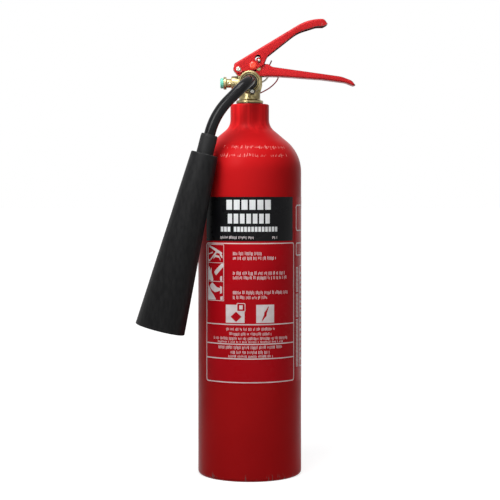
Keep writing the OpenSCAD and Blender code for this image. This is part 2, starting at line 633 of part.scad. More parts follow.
module swivel_collar() color("black") at_outlet() difference() {
    front_turned(rounded([[0, spigot_end, 0], [spigot_r, spigot_end, 0.4],
        [spigot_r, seal_depth - 0.7, 0], [spigot_r - 1, seal_depth - 0.7, 0],
        [spigot_r - 1, seal_depth + 0.7, 0], [spigot_r, seal_depth + 0.7, 0],
        [spigot_r, bore_floor + part_gap, 0], [collar_r, bore_floor + part_gap, 0],
        [collar_r, collar_front, 0.3], [hub_r, collar_front, 0], [hub_r, hub_front, 0.8],
        [0, hub_front, 0]]));
    bar([0, 0], 3.2, -hub_front - 1, 0);
    bar([0, 0], pipe_r + seat_clear, -hub_front - 1, -pipe_socket);
}

module swivel_seal() color("black") at_outlet() translate([0, -seal_depth, 0]) rotate([90, 0, 0])
    rotate_extrude() translate([spigot_bore_r - running_clear / 2 - seal_wire_r, 0]) circle(r = seal_wire_r);

// Part of a bent pipe: starts at the origin along +Y and turns towards -X
module bend(radius, r, angle) translate([-radius, 0, 0]) rotate_extrude(angle = angle)
    translate([radius, 0]) circle(r = r);

// The whole run of pipe as a solid of radius r, longer at both ends by extra. Its straight
// runs lap over the bends, which are a hair thinner, so that the run is one solid.
module pipe_run(r, extra) {
    elbow_y = horn_plane - elbow_r;
    bend_r = r - 0.02;
    bar([0, 0], r, -elbow_y - pipe_lap, -pipe_socket + extra);
    translate([0, -elbow_y, 0]) rotate([0, pipe_slope, 0]) rotate([0, -90, 0]) rotate([180, 0, 0])
        bend(elbow_r, bend_r, 90);
    translate([elbow_end[0], -horn_plane, elbow_end[1]]) rotate([0, 180 + pipe_slope, 0])
        translate([0, 0, -pipe_lap]) cylinder(h = pipe_straight + 2 * pipe_lap, r = r);
    translate([bend_start[0], -horn_plane, bend_start[1]]) rotate([0, pipe_slope, 0]) rotate([0, 0, 180])
        rotate([-90, 0, 0]) bend(long_bend_r, bend_r, pipe_slope - horn_slope);
    translate([bend_end[0], -horn_plane, bend_end[1]]) rotate([0, 180 + horn_slope, 0])
        translate([0, 0, -pipe_lap]) cylinder(h = pipe_lap + pipe_lead + pipe_in + extra, r = r);
}

module horn_pipe() color("black") at_outlet() difference() {
    pipe_run(pipe_r, 0);
    pipe_run(pipe_bore_r, 1);
}

module coupling_sleeve() color("dimgray") at_horn() difference() {
    translate([0, 0, -sleeve_end]) rotate_extrude() polygon(rounded([[0, 0, 0], [sleeve_r, 0, 0],
        [sleeve_r, sleeve_end, 0.8], [0, sleeve_end, 0]]));
    translate([0, 0, -sleeve_end - 1]) cylinder(h = sleeve_end + 2, r = pipe_r + seat_clear);
}

module horn_jet() color("goldenrod") at_horn() difference() {
    translate([0, 0, -jet_end]) rotate_extrude() polygon(rounded([[0, 0, 0], [4, 0, 1.2],
        [4, jet_end - sleeve_end, 0], [pipe_r, jet_end - sleeve_end, 0],
        [pipe_r, jet_end - pipe_in - 0.05, 0], [0, jet_end - pipe_in - 0.05, 0]]));
    translate([0, 0, -jet_end + 3]) cylinder(h = jet_end, r = 2);
    // Four side holes spread the gas
    for (turn = [0, 90]) rotate([0, 0, turn]) translate([-6, 0, -jet_end + 5]) rotate([0, 90, 0])
        cylinder(h = 12, r = 0.9);
}

module discharge_horn() color([0.13, 0.13, 0.14]) at_horn() difference() {
    translate([0, 0, -horn_end]) rotate_extrude() polygon(rounded([
        [0, 0, 0], [horn_mouth_d / 2, 0, 1], [horn_top_d / 2, horn_length, 1.2], [0, horn_length, 0]]));
    translate([0, 0, -horn_end]) rotate_extrude() polygon([
        [0, -1], [horn_mouth_d / 2 - horn_wall, -1], [horn_mouth_d / 2 - horn_wall, 0],
        [horn_r(horn_floor) - horn_wall, horn_end - horn_floor], [0, horn_end - horn_floor]]);
    translate([0, 0, -horn_floor - 1]) cylinder(h = horn_floor, r = sleeve_r + seat_clear);
}

gas_cylinder();
front_label();
side_label();
neck_seal();
valve_body();
dip_tube();
inlet_plug();
closing_spring();
valve_stem();
seat_washer();
stem_seal();
gland_nut();
burst_disc_holder();
burst_disc();
burst_cap();
carry_handle();
handle_rivet();
pivot_pin();
squeeze_lever();
push_rivet();
safety_pin();
pull_ring();
tamper_seal();
retaining_screw();
retaining_washer();
swivel_collar();
swivel_seal();
horn_pipe();
coupling_sleeve();
horn_jet();
discharge_horn();
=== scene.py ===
import bisect
import json
import random
from math import acos, asin, atan2, ceil, cos, degrees, pi, radians, sin, tan

import bmesh
import bpy
import numpy
from mathutils import Matrix, Vector


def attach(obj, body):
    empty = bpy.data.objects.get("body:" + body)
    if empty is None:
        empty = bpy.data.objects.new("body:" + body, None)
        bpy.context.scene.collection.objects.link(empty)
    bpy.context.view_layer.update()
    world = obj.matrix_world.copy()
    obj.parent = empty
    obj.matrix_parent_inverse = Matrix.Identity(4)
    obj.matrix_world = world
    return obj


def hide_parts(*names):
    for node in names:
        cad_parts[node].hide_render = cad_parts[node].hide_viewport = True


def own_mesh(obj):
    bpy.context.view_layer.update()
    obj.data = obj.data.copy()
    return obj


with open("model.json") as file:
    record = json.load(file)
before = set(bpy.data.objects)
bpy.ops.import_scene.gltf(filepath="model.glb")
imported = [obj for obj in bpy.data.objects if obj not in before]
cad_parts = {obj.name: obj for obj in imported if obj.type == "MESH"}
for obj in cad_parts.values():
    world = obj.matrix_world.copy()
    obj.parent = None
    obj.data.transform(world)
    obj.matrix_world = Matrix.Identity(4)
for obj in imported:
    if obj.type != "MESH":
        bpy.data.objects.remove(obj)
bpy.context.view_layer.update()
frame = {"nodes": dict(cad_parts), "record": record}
print("frame loaded")

# The pieces are drawn in millimetres, the finishes, lamps and camera in metres
mm = 0.001
outletZ = 423.514  # height of the swivel outlet's axis
atOutlet = Matrix.Translation((0, 0, outletZ))
unmoved = Matrix.Identity(4)
nearlyStraight = 1.565  # half a corner's angle, in radians, from which it isn't rounded


# Outlines and meshes
def arc(cx, cz, r, start, end, step=3):
    count = max(2, ceil(abs(end - start) / step))
    turns = [radians(start + (end - start) * i / count) for i in range(count + 1)]
    return [(cx + r * cos(a), cz + r * sin(a)) for a in turns]


def circle(r, count, centre=(0, 0)):
    turns = [2 * pi * k / count for k in range(count)]
    return [(centre[0] + r * cos(a), centre[1] + r * sin(a)) for a in turns]


def rounded(points, sag=0.01):
    # Corners (x, z, radius) become arcs, whose chords stay within sag of them.
    out = []
    for i, b in enumerate(points):
        p = Vector(b[:2])
        u = (Vector(points[i - 1][:2]) - p).normalized()
        v = (Vector(points[(i + 1) % len(points)][:2]) - p).normalized()
        half = acos(max(-1, min(1, u.dot(v)))) / 2
        if len(b) < 3 or b[2] <= 0 or half > nearlyStraight:
            out.append(tuple(p))
            continue
        centre = p + (u + v).normalized() * b[2] / sin(half)
        reach = b[2] / tan(half)
        first, last = p + u * reach - centre, p + v * reach - centre
        start = atan2(first.y, first.x)
        turn = atan2(last.y, last.x) - start
        turn = (turn + pi) % (2 * pi) - pi
        count = max(3, ceil(abs(turn) / (2 * acos(1 - min(0.5, sag / b[2])))))
        turns = [start + turn * k / count for k in range(count + 1)]
        out += [tuple(centre + b[2] * Vector((cos(a), sin(a)))) for a in turns]
    return out


def addObject(name, data):
    obj = bpy.data.objects.new(name, data)
    bpy.context.scene.collection.objects.link(obj)
    return obj


def makeObject(name, verts, faces, place=unmoved):
    # A mesh in millimetres, scaled here, with its faces turned outwards.
    mesh = bpy.data.meshes.new(name)
    mesh.from_pydata([Vector(v) for v in verts], [], faces)
    mesh.transform(place)
    mesh.transform(Matrix.Scale(mm, 4))
    work = bmesh.new()
    work.from_mesh(mesh)
    bmesh.ops.remove_doubles(work, verts=work.verts, dist=1e-7)
    bmesh.ops.recalc_face_normals(work, faces=work.faces)
    work.to_mesh(mesh)
    work.free()
    return addObject(name, mesh)


def band(a, b, n):
    # The faces between two rings of n points that start at a and b.
    return [(a + k, a + (k + 1) % n, b + (k + 1) % n, b + k) for k in range(n)]


def turned(profile, segments=96):
    # A closed outline (radius, height) turned round the upright axis.
    verts, faces, rings = [], [], []
    for r, h in profile:
        ring = [(0, 0, h)] if r < 1e-6 else [(x, y, h) for x, y in circle(r, segments)]
        rings.append(range(len(verts), len(verts) + len(ring)))
        verts += ring
    for i, a in enumerate(rings):
        b = rings[(i + 1) % len(rings)]
        if len(a) == 1 and len(b) == 1:
            continue
        for k in range(segments):
            n = (k + 1) % segments
            if len(a) == 1:
                faces.append((a[0], b[k], b[n]))
            elif len(b) == 1:
                faces.append((a[k], a[n], b[0]))
            else:
                faces.append((a[k], a[n], b[n], b[k]))
    return verts, faces


def swept(path, section, closed=False):
    # A section (a, b) carried along points in space without twisting.
    path = [Vector(p) for p in path]
    count, sides = len(path), len(section)
    tangents = []
    for i in range(count):
        before = path[i - 1] if (i or closed) else path[0]
        after = path[(i + 1) % count] if (i < count - 1 or closed) else path[-1]
        tangents.append((after - before).normalized())
    side = tangents[0].orthogonal().normalized()
    verts, faces = [], []
    for p, t in zip(path, tangents):
        side = (side - t * side.dot(t)).normalized()
        up = t.cross(side)
        verts += [p + side * a + up * b for a, b in section]
    for i in range(count if closed else count - 1):
        faces += band(i * sides, (i + 1) % count * sides, sides)
    if not closed:
        faces += [tuple(range(sides))[::-1], tuple(range((count - 1) * sides, count * sides))]
    return verts, faces


def hollowTube(path, outer, inner, sides=64):
    # A pipe with its bore, closed at both ends by its wall.
    verts, faces = swept(path, circle(outer, sides))
    inside, walls = swept(path, circle(inner, sides))
    n = len(verts)
    faces = faces[:-2] + [tuple(n + i for i in f[::-1]) for f in walls[:-2]]
    last = n - sides
    for k in range(sides):
        m = (k + 1) % sides
        faces.append((k, m, n + m, n + k))
        faces.append((last + m, last + k, n + last + k, n + last + m))
    return verts + inside, faces


def prism(name, outline, y0, y1, place=atOutlet):
    # An outline in x and z, made solid from y0 to y1.
    n = len(outline)
    verts = [(x, y, z) for y in (y0, y1) for x, z in outline]
    faces = [tuple(range(n)), tuple(range(2 * n - 1, n - 1, -1))]
    return makeObject(name, verts, faces + band(0, n, n), place)


rightAngle = radians(90)
facing = {"up": unmoved, "front": Matrix.Rotation(rightAngle, 4, "X"),
          "left": Matrix.Rotation(-rightAngle, 4, "Y")}


def turnedPiece(name, profile, way="up", at=(0, 0, 0), segments=96, place=atOutlet):
    return makeObject(name, *turned(profile, segments), place @ Matrix.Translation(at) @ facing[way])


def settle(obj):
    # Modifiers become plain mesh.
    graph = bpy.context.evaluated_depsgraph_get()
    mesh = bpy.data.meshes.new_from_object(obj.evaluated_get(graph), depsgraph=graph)
    obj.modifiers.clear()
    obj.data = mesh
    mesh.name = obj.name
    return obj


def cut(obj, *tools):
    for tool in tools:
        step = obj.modifiers.new("cut", "BOOLEAN")
        step.object, step.operation, step.solver = tool, "DIFFERENCE", "EXACT"
    settle(obj)
    for tool in tools:
        bpy.data.objects.remove(tool)
    return obj


def soften(obj, width, segments=2, angle=30):
    # Small rounded edges, as tumbled or painted metal has.
    work = bmesh.new()
    work.from_mesh(obj.data)
    bmesh.ops.remove_doubles(work, verts=work.verts, dist=2e-6)
    bmesh.ops.dissolve_limit(work, angle_limit=radians(1), verts=work.verts, edges=work.edges)
    work.to_mesh(obj.data)
    work.free()
    edge = obj.modifiers.new("edge", "BEVEL")
    edge.width, edge.segments, edge.limit_method = width * mm, segments, "ANGLE"
    edge.angle_limit, edge.use_clamp_overlap = radians(angle), True
    return settle(obj)


def copyOf(name, node):
    # A copy of a CAD node's mesh, to be refined.
    return addObject(name, frame["nodes"][node].data.copy())


def put(obj, body, material, replaced=(), angle=38):
    # Shading, finish and place of a finished piece.
    obj.data.materials.clear()
    obj.data.materials.append(material)
    obj.data.polygons.foreach_set("use_smooth", [True] * len(obj.data.polygons))
    obj.data.set_sharp_from_angle(angle=radians(angle))
    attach(obj, body)
    if replaced:
        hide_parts(*replaced)
    return obj


# Finishes
def feed(tree, socket, value):
    # The value is a node, whose first output is taken, or a socket or a plain value.
    if isinstance(value, bpy.types.Node):
        value = value.outputs[0]
    if isinstance(value, bpy.types.NodeSocket):
        tree.links.new(value, socket)
    else:
        socket.default_value = (*value, 1) if socket.type == "RGBA" else value


def addNode(tree, kind, settings=None, **values):
    # in0, in1 and so on stand for sockets by number, other words for sockets by name.
    node = tree.nodes.new(kind)
    for key, value in (settings or {}).items():
        setattr(node, key, value)
    for key, value in values.items():
        feed(tree, node.inputs[int(key[2:]) if key.startswith("in") else key.replace("_", " ")], value)
    return node


def noise(tree, where, scale, detail=3, stretch=(1, 1, 1)):
    if stretch != (1, 1, 1):
        where = addNode(tree, "ShaderNodeMapping", Vector=where, Scale=stretch)
    return addNode(tree, "ShaderNodeTexNoise", Vector=where, Scale=scale, Detail=float(detail))


def spread(tree, value, low, high, outLow=0.0, outHigh=1.0):
    return addNode(tree, "ShaderNodeMapRange", in0=value, in1=low, in2=high, in3=outLow, in4=outHigh)


def combine(tree, kind, a, b):
    return addNode(tree, "ShaderNodeMath", {"operation": kind}, in0=a, in1=b)


def blendColour(tree, share, a, b):
    return addNode(tree, "ShaderNodeMix", {"data_type": "RGBA"}, in0=share, in6=a, in7=b).outputs[2]


def newMaterial(name):
    material = bpy.data.materials.new(name)
    material.use_nodes = True
    return material, material.node_tree, material.node_tree.nodes["Principled BSDF"]


def newFinish(name, look):
    # Colour, roughness and relief that vary a little, from one dictionary.
    material, tree, shader = newMaterial(name)
    where = addNode(tree, "ShaderNodeTexCoord").outputs["Object"]
    stretch = look.get("stretch", (1, 1, 1))
    patches = noise(tree, where, look["patch"], 4, stretch)
    colour = blendColour(tree, spread(tree, patches, 0.36, 0.64), *look["colours"])
    grain = noise(tree, where, look["grain"], 3, stretch)
    rough = spread(tree, noise(tree, where, look["patch"] * 2.7, 5, stretch), 0.3, 0.7, *look["rough"])
    bump = addNode(tree, "ShaderNodeBump", Strength=look["relief"], Distance=0.0001, Height=grain)
    metal, specular = look.get("metal", 0), look.get("specular", 0.5)
    for label, value in (("Base Color", colour), ("Roughness", rough), ("Normal", bump), ("Metallic", metal),
                         ("Specular IOR Level", specular)):
        feed(tree, shader.inputs[label], value)
    return material, tree, shader, where, colour


def plainFinish(name, look):
    return newFinish(name, look)[0]


def wornAndShadedPaint(name, look, bare=(0.45, 0.32, 0.28)):
    # Rubbed bare where the attribute "worn" marks an edge. Painted shade, a near black red, where "inside"
    # marks the hollow of a folded sheet.
    material, tree, shader, where, colour = newFinish(name, look)
    edge = addNode(tree, "ShaderNodeAttribute", {"attribute_name": "worn"}).outputs["Fac"]
    chips = spread(tree, noise(tree, where, 330, 5), 0.52, 0.60)
    share = combine(tree, "MULTIPLY", combine(tree, "MULTIPLY", edge, chips), 0.5)
    shadeMask = addNode(tree, "ShaderNodeAttribute", {"attribute_name": "inside"}).outputs["Fac"]
    # painted shade: the hollow of the channel is blended towards a near black red
    shadedColour = blendColour(tree, combine(tree, "MULTIPLY", shadeMask, 0.86), colour, (0.035, 0.006, 0.006))
    feed(tree, shader.inputs["Base Color"], blendColour(tree, share, shadedColour, bare))
    return material


cylinderRed, tree, shader, where, colour = newFinish("cylinderRed", {
    "colours": ((0.48, 0.009, 0.0105), (0.42, 0.007, 0.0085)), "patch": 9, "grain": 420,
    "rough": (0.28, 0.42), "relief": 0.10, "specular": 0.03})

# Scuffs through the paint round the foot, and lighter vertical streaks down the neck: painted light that
# brightens the neck, which the valve shades
wearAndNeckLight = {"footZ": (0.0005, 0.009), "neckZ": (0.366, 0.376), "run": (0.72, 0.018, 0.020),
             "bare": (0.16, 0.13, 0.12)}
height = addNode(tree, "ShaderNodeSeparateXYZ", Vector=where).outputs["Z"]
low = spread(tree, height, *wearAndNeckLight["footZ"], 1.0, 0.0)
scuff = spread(tree, noise(tree, where, 260, 6, (1, 1, 0.35)), 0.60, 0.66)
streaks = spread(tree, noise(tree, where, 190, 3, (1, 1, 0.03)), 0.42, 0.66, 0.1, 0.75)
# painted light: the neck band is blended towards a lighter red in vertical streaks
neckLightRuns = combine(tree, "MULTIPLY", spread(tree, height, *wearAndNeckLight["neckZ"]), streaks)
neckLit = blendColour(tree, neckLightRuns, colour, wearAndNeckLight["run"])
worn = blendColour(tree, combine(tree, "MULTIPLY", low, scuff), neckLit, wearAndNeckLight["bare"])
feed(tree, shader.inputs["Base Color"], worn)

leverRed = wornAndShadedPaint("leverRed", {
    "colours": ((0.50, 0.014, 0.017), (0.42, 0.011, 0.013)), "patch": 40, "grain": 900,
    "rough": (0.30, 0.44), "relief": 0.12, "specular": 0.14})
rivetRed = wornAndShadedPaint("rivetRed", {
    "colours": ((0.78, 0.055, 0.025), (0.66, 0.030, 0.018)), "patch": 120, "grain": 900,
    "rough": (0.24, 0.36), "relief": 0.1, "specular": 0.4})
brass = wornAndShadedPaint("brass", {
    "colours": ((0.37, 0.305, 0.155), (0.13, 0.105, 0.05)), "patch": 110, "grain": 1400,
    "rough": (0.24, 0.46), "relief": 0.16, "metal": 1.0}, (0.82, 0.70, 0.40))
steel = plainFinish("zincPlatedSteel", {
    "colours": ((0.46, 0.46, 0.41), (0.32, 0.32, 0.28)), "patch": 120, "grain": 1800,
    "rough": (0.2, 0.38), "relief": 0.08, "metal": 1.0})
springSteel = plainFinish("springWire", {
    "colours": ((0.42, 0.42, 0.43), (0.30, 0.30, 0.31)), "patch": 200, "grain": 2500,
    "rough": (0.28, 0.42), "relief": 0.1, "metal": 1.0})
aluminium = plainFinish("drawnAluminium", {
    "colours": ((0.78, 0.79, 0.80), (0.62, 0.63, 0.65)), "patch": 60, "grain": 900,
    "rough": (0.3, 0.5), "relief": 0.1, "metal": 1.0, "stretch": (4, 4, 0.3)})
blackSteel = plainFinish("blackedSteel", {
    "colours": ((0.010, 0.010, 0.011), (0.020, 0.019, 0.018)), "patch": 150, "grain": 1500,
    "rough": (0.3, 0.5), "relief": 0.15, "specular": 0.25})
pipeBlack = plainFinish("glossBlackPipe", {
    "colours": ((0.004, 0.004, 0.0045), (0.008, 0.008, 0.009)), "patch": 45, "grain": 600,
    "rough": (0.12, 0.2), "relief": 0.04, "specular": 0.12})
hornBlack = wornAndShadedPaint("hornPlastic", {
    "colours": ((0.007, 0.007, 0.0075), (0.0125, 0.0125, 0.013)), "patch": 320, "grain": 1100,
    "rough": (0.40, 0.56), "relief": 0.6, "stretch": (1, 1, 0.3), "specular": 0.09}, (0.05, 0.05, 0.05))
sleeveBlack = plainFinish("sleeveRubber", {
    "colours": ((0.006, 0.006, 0.0065), (0.011, 0.011, 0.0115)), "patch": 60, "grain": 1700,
    "rough": (0.5, 0.66), "relief": 0.3, "specular": 0.15})
sealBlack = plainFinish("sealRubber", {
    "colours": ((0.012, 0.012, 0.012), (0.022, 0.022, 0.022)), "patch": 200, "grain": 2200,
    "rough": (0.5, 0.7), "relief": 0.2, "specular": 0.25})
capGreen = plainFinish("capGreen", {
    "colours": ((0.10, 0.42, 0.30), (0.13, 0.48, 0.36)), "patch": 130, "grain": 1200,
    "rough": (0.28, 0.4), "relief": 0.1, "specular": 0.3})
strapRed = plainFinish("strapRed", {
    "colours": ((0.50, 0.016, 0.04), (0.60, 0.03, 0.06)), "patch": 160, "grain": 1500,
    "rough": (0.3, 0.44), "relief": 0.12, "specular": 0.3})
blackInk = plainFinish("blackInk", {
    "colours": ((0.004, 0.004, 0.005), (0.008, 0.008, 0.009)), "patch": 30, "grain": 900,
    "rough": (0.24, 0.34), "relief": 0.04, "specular": 0.08})
redFilm = plainFinish("redFilm", {
    "colours": ((0.52, 0.005, 0.011), (0.46, 0.004, 0.0095)), "patch": 16, "grain": 700,
    "rough": (0.24, 0.34), "relief": 0.05, "specular": 0.05})
whiteInk = plainFinish("whiteInk", {
    "colours": ((0.84, 0.76, 0.76), (0.74, 0.63, 0.63)), "patch": 120, "grain": 1200,
    "rough": (0.34, 0.46), "relief": 0.05, "specular": 0.3})
headingInk = plainFinish("headingInk", {
    "colours": ((0.80, 0.81, 0.82), (0.74, 0.75, 0.76)), "patch": 120, "grain": 1200,
    "rough": (0.34, 0.46), "relief": 0.05, "specular": 0.3})
print("finishes ready")


def markPoints(obj, label, values):
    layer = obj.data.attributes.new(label, "FLOAT", "POINT")
    layer.data.foreach_set("value", values)


def markEdges(obj, narrowest=0.35 * mm, smallest=6e-6):
    # Marks the points of rounded edges: their faces are narrow and turn from each other.
    work = bmesh.new()
    work.from_mesh(obj.data)
    values = []
    for v in work.verts:
        faces = v.link_faces
        narrow = all(f.calc_area() < smallest and min(e.calc_length() for e in f.edges) < narrowest
                     for f in faces)
        bent = min((f.normal.dot(faces[0].normal) for f in faces), default=1) < 0.97
        values.append(1.0 if narrow and bent else 0.0)
    work.free()
    markPoints(obj, "worn", values)


def markShadedInside(obj, webDown):
    # Marks the faces that look into a folded sheet or face down under its web, where painted shade darkens
    # the colour.
    depths = [0.0] * len(obj.data.vertices)
    for f in obj.data.polygons:
        across = f.normal.y * f.center.y < 0 and abs(f.normal.y) > 0.5
        under = abs(f.normal.y) < 0.5 and f.normal.z * webDown > 0.2 and abs(f.center.y) < 0.0086
        if across or under:
            for i in f.vertices:
                depths[i] = 1.0
    markPoints(obj, "inside", depths)


# Geometry Nodes trees
def newTree(name, sizes):
    tree = bpy.data.node_groups.new(name, "GeometryNodeTree")
    tree.interface.new_socket("Geometry", in_out="INPUT", socket_type="NodeSocketGeometry")
    for label, (kind, value) in sizes.items():
        socket = tree.interface.new_socket(label, in_out="INPUT", socket_type="NodeSocket" + kind)
        if value is not None:
            socket.default_value = value
    tree.interface.new_socket("Geometry", in_out="OUTPUT", socket_type="NodeSocketGeometry")
    return tree, tree.nodes.new("NodeGroupInput"), tree.nodes.new("NodeGroupOutput")


def grow(name, tree, values, base=None):
    # Runs a tree on a base mesh and keeps the plain result.
    obj = addObject(name, base or bpy.data.meshes.new(name))
    step = obj.modifiers.new("grow", "NODES")
    step.node_group = tree
    for item in tree.interface.items_tree:
        if item.in_out == "INPUT" and item.name in values:
            step[item.identifier] = values[item.name]
    return settle(obj)


def closeTree(tree, geometry, sizes, result):
    solid = addNode(tree, "GeometryNodeRealizeInstances", in0=geometry)
    painted = addNode(tree, "GeometryNodeSetMaterial", Geometry=solid, Material=sizes.outputs["Material"])
    feed(tree, result.inputs[0], painted)


coilTree, sizes, result = newTree("coiledWire", {
    "Turns": ("Float", 6.0), "Radius": ("Float", 0.004), "Height": ("Float", 0.016),
    "Wire": ("Float", 0.0005), "Steps": ("Int", 32), "Sides": ("Int", 16), "Material": ("Material", None)})
helix = addNode(coilTree, "GeometryNodeCurveSpiral", Resolution=sizes.outputs["Steps"],
                Rotations=sizes.outputs["Turns"], Start_Radius=sizes.outputs["Radius"],
                End_Radius=sizes.outputs["Radius"], Height=sizes.outputs["Height"], Reverse=True)
wire = addNode(coilTree, "GeometryNodeCurvePrimitiveCircle", Resolution=sizes.outputs["Sides"],
               Radius=sizes.outputs["Wire"])
coil = addNode(coilTree, "GeometryNodeCurveToMesh", in0=helix, in1=wire, Fill_Caps=True)
closeTree(coilTree, coil, sizes, result)

marksTree, sizes, result = newTree("marksOnSurface", {
    "Depth": ("Float", 0.0001), "Unevenness": ("Float", 0.0), "Seed": ("Int", 3),
    "Material": ("Material", None)})
vectorKind = {"data_type": "FLOAT_VECTOR"}
outward = addNode(marksTree, "GeometryNodeInputNamedAttribute", vectorKind, Name="outward")
wanted = addNode(marksTree, "GeometryNodeInputNamedAttribute", vectorKind, Name="markSize")
aligned = addNode(marksTree, "FunctionNodeAlignRotationToVector", {"axis": "Z"}, Vector=outward)
upright = addNode(marksTree, "FunctionNodeAlignRotationToVector", {"axis": "Y", "pivot_axis": "Z"},
                  Rotation=aligned, Vector=(0.0, 0.0, 1.0))
vary = addNode(marksTree, "FunctionNodeRandomValue", {"data_type": "FLOAT"}, in2=-1.0, in3=1.0,
               Seed=sizes.outputs["Seed"])
uneven = addNode(marksTree, "ShaderNodeMath", {"operation": "MULTIPLY_ADD"}, in0=vary.outputs[1],
                 in1=sizes.outputs["Unevenness"], in2=1.0)
grown = addNode(marksTree, "ShaderNodeVectorMath", {"operation": "SCALE"}, in0=wanted, Scale=uneven)
depth = addNode(marksTree, "ShaderNodeCombineXYZ", X=1.0, Y=1.0, Z=sizes.outputs["Depth"])
scaled = addNode(marksTree, "ShaderNodeVectorMath", {"operation": "MULTIPLY"}, in0=grown, in1=depth)
block = addNode(marksTree, "GeometryNodeMeshCube")
placed = addNode(marksTree, "GeometryNodeInstanceOnPoints", Points=sizes, Instance=block, Rotation=upright,
                 Scale=scaled)
closeTree(marksTree, placed, sizes, result)


def pointsMesh(name, marks):
    # Marks as (place, outward, width, height), in millimetres.
    mesh = bpy.data.meshes.new(name)
    mesh.from_pydata([Vector(m[0]) * mm for m in marks], [], [])
    extents = [(m[2] * mm, m[3] * mm, 1) for m in marks]
    for label, values in (("outward", [m[1] for m in marks]), ("markSize", extents)):
        layer = mesh.attributes.new(label, "FLOAT_VECTOR", "POINT")
        layer.data.foreach_set("vector", [number for v in values for number in v])
    return mesh


def growMarks(name, marks, finish, slotName, depth, **more):
    values = {"Depth": depth * mm, "Material": finish, **more}
    piece = grow(name, marksTree, values, pointsMesh(name + "_points", marks))
    put(piece, "extinguisher", finish, angle=20)


# Gas cylinder
tank = {"radius": 56, "wall": 3.6, "baseEdge": 4, "floor": 5, "hollow": 0.6, "hollowR": 38, "footR": 41,
        "shoulderZ": 327, "shoulderR": 43.5, "turn": 50, "neckR": 21, "filletR": 16, "neckLength": 16.4,
        "boreR": 12.6, "rim": 1.5, "segments": 192}
knuckleX = tank["radius"] - tank["shoulderR"]
turnAngle = radians(tank["turn"])
flankX = knuckleX + tank["shoulderR"] * cos(turnAngle)
flankZ = tank["shoulderZ"] + tank["shoulderR"] * sin(turnAngle)
neckFoot = flankZ + (flankX - tank["neckR"]) / tan(turnAngle) + tank["filletR"] * tan(turnAngle / 2)
neckTop = neckFoot + tank["neckLength"]
innerShoulder = tank["shoulderR"] - tank["wall"]
flankInX = knuckleX + innerShoulder * cos(turnAngle)
flankInZ = tank["shoulderZ"] + innerShoulder * sin(turnAngle)
cornerIn = tank["baseEdge"] + tank["wall"]
innerR = tank["radius"] - tank["wall"]
profile = ([(0, tank["hollow"]), (tank["hollowR"], tank["hollow"]), (tank["footR"], 0)]
           + arc(tank["radius"] - tank["baseEdge"], tank["baseEdge"], tank["baseEdge"], -90, 0, 9)
           + arc(knuckleX, tank["shoulderZ"], tank["shoulderR"], 0, tank["turn"], 1.5)
           + arc(tank["neckR"] + tank["filletR"], neckFoot, tank["filletR"], 180 + tank["turn"], 180, 3)
           + arc(tank["neckR"] - tank["rim"], neckTop - tank["rim"], tank["rim"], 0, 90, 12)
           + [(tank["boreR"], neckTop)]
           + [(tank["boreR"], flankInZ + (flankInX - tank["boreR"]) / tan(turnAngle))]
           + arc(knuckleX, tank["shoulderZ"], innerShoulder, tank["turn"], 0, 3)
           + arc(innerR - cornerIn, tank["floor"] + cornerIn, cornerIn, 0, -90, 9) + [(0, tank["floor"])])
body = turnedPiece("gas_cylinder_shell", profile, segments=tank["segments"], place=unmoved)
put(body, "extinguisher", cylinderRed, ["gas_cylinder"])

# Two rows of stamped strokes on the shoulder
stampRows = {"heights": (343.8, 352.6), "from": -38, "to": 48, "pitch": 2.1, "tall": 4.4, "wide": 0.36,
             "keep": 0.78, "tilt": 0.6, "shift": 1.0, "lying": 0.4}
rng = random.Random(11)
marks = []
for z in stampRows["heights"]:
    angle = stampRows["from"]
    while angle < stampRows["to"]:
        angle += stampRows["pitch"] * (0.7 + 0.6 * rng.random())
        if rng.random() > stampRows["keep"]:
            continue
        for part in range(rng.choice((1, 2, 3))):
            a = radians(angle + rng.uniform(-stampRows["tilt"], stampRows["tilt"]))
            at = z + rng.uniform(-stampRows["shift"], stampRows["shift"])
            lift = asin((at - tank["shoulderZ"]) / tank["shoulderR"])
            ringR = knuckleX + tank["shoulderR"] * cos(lift)
            out = (sin(a) * cos(lift), -cos(a) * cos(lift), sin(lift))
            wide, tall = stampRows["wide"], stampRows["tall"] * rng.uniform(0.25, 0.85)
            if part and rng.random() < stampRows["lying"]:
                wide, tall = tall * 0.7, wide
            marks.append(((ringR * sin(a), -ringR * cos(a), at), out, wide, tall))
stampedPaint = plainFinish("stampedPaint", {
    "colours": ((0.66, 0.34, 0.30), (0.50, 0.04, 0.04)), "patch": 240, "grain": 1500,
    "rough": (0.4, 0.6), "relief": 0.2})
growMarks("shoulder_stamp_marks", marks, stampedPaint, "red_paint", 0.16, Unevenness=0.25, Seed=4)
print("cylinder made")

# Labels
filmR = 56.03  # the film's back, just off the wall
filmTop = 56.18
inkTop = 56.25
inkRadii = (filmTop - 0.01, inkTop)
filmRadii = (filmR, filmTop)


def onFilm(s, z, r):
    # A point on the label: s is the arc length from the front, in millimetres.
    a = s / filmR
    return (r * sin(a), -r * cos(a), z)


def filmShape(parts, left, right, lower, upper, radii=inkRadii, step=1.2):
    # A closed flake that follows the wall between two curves of s.
    count = max(1, ceil((right - left) / step))
    (verts, faces), (r0, r1) = parts, radii
    base = len(verts)
    for i in range(count + 1):
        s = left + (right - left) * i / count
        for z, r in ((lower(s), r0), (lower(s), r1), (upper(s), r1), (upper(s), r0)):
            verts.append(onFilm(s, z, r))
    for i in range(count):
        faces += band(base + 4 * i, base + 4 * (i + 1), 4)
    last = base + 4 * count
    faces += [(base + 3, base + 2, base + 1, base), (last, last + 1, last + 2, last + 3)]


def filmBar(parts, left, right, low, high, **more):
    filmShape(parts, left, right, lambda s: low, lambda s: high, **more)


def filmPatch(parts, stations, **more):
    # A flake whose two curves run straight between stations (s, low, high).
    along, lows, highs = zip(*stations)
    filmShape(parts, along[0], along[-1], lambda s: numpy.interp(s, along, lows),
              lambda s: numpy.interp(s, along, highs), step=0.4, **more)


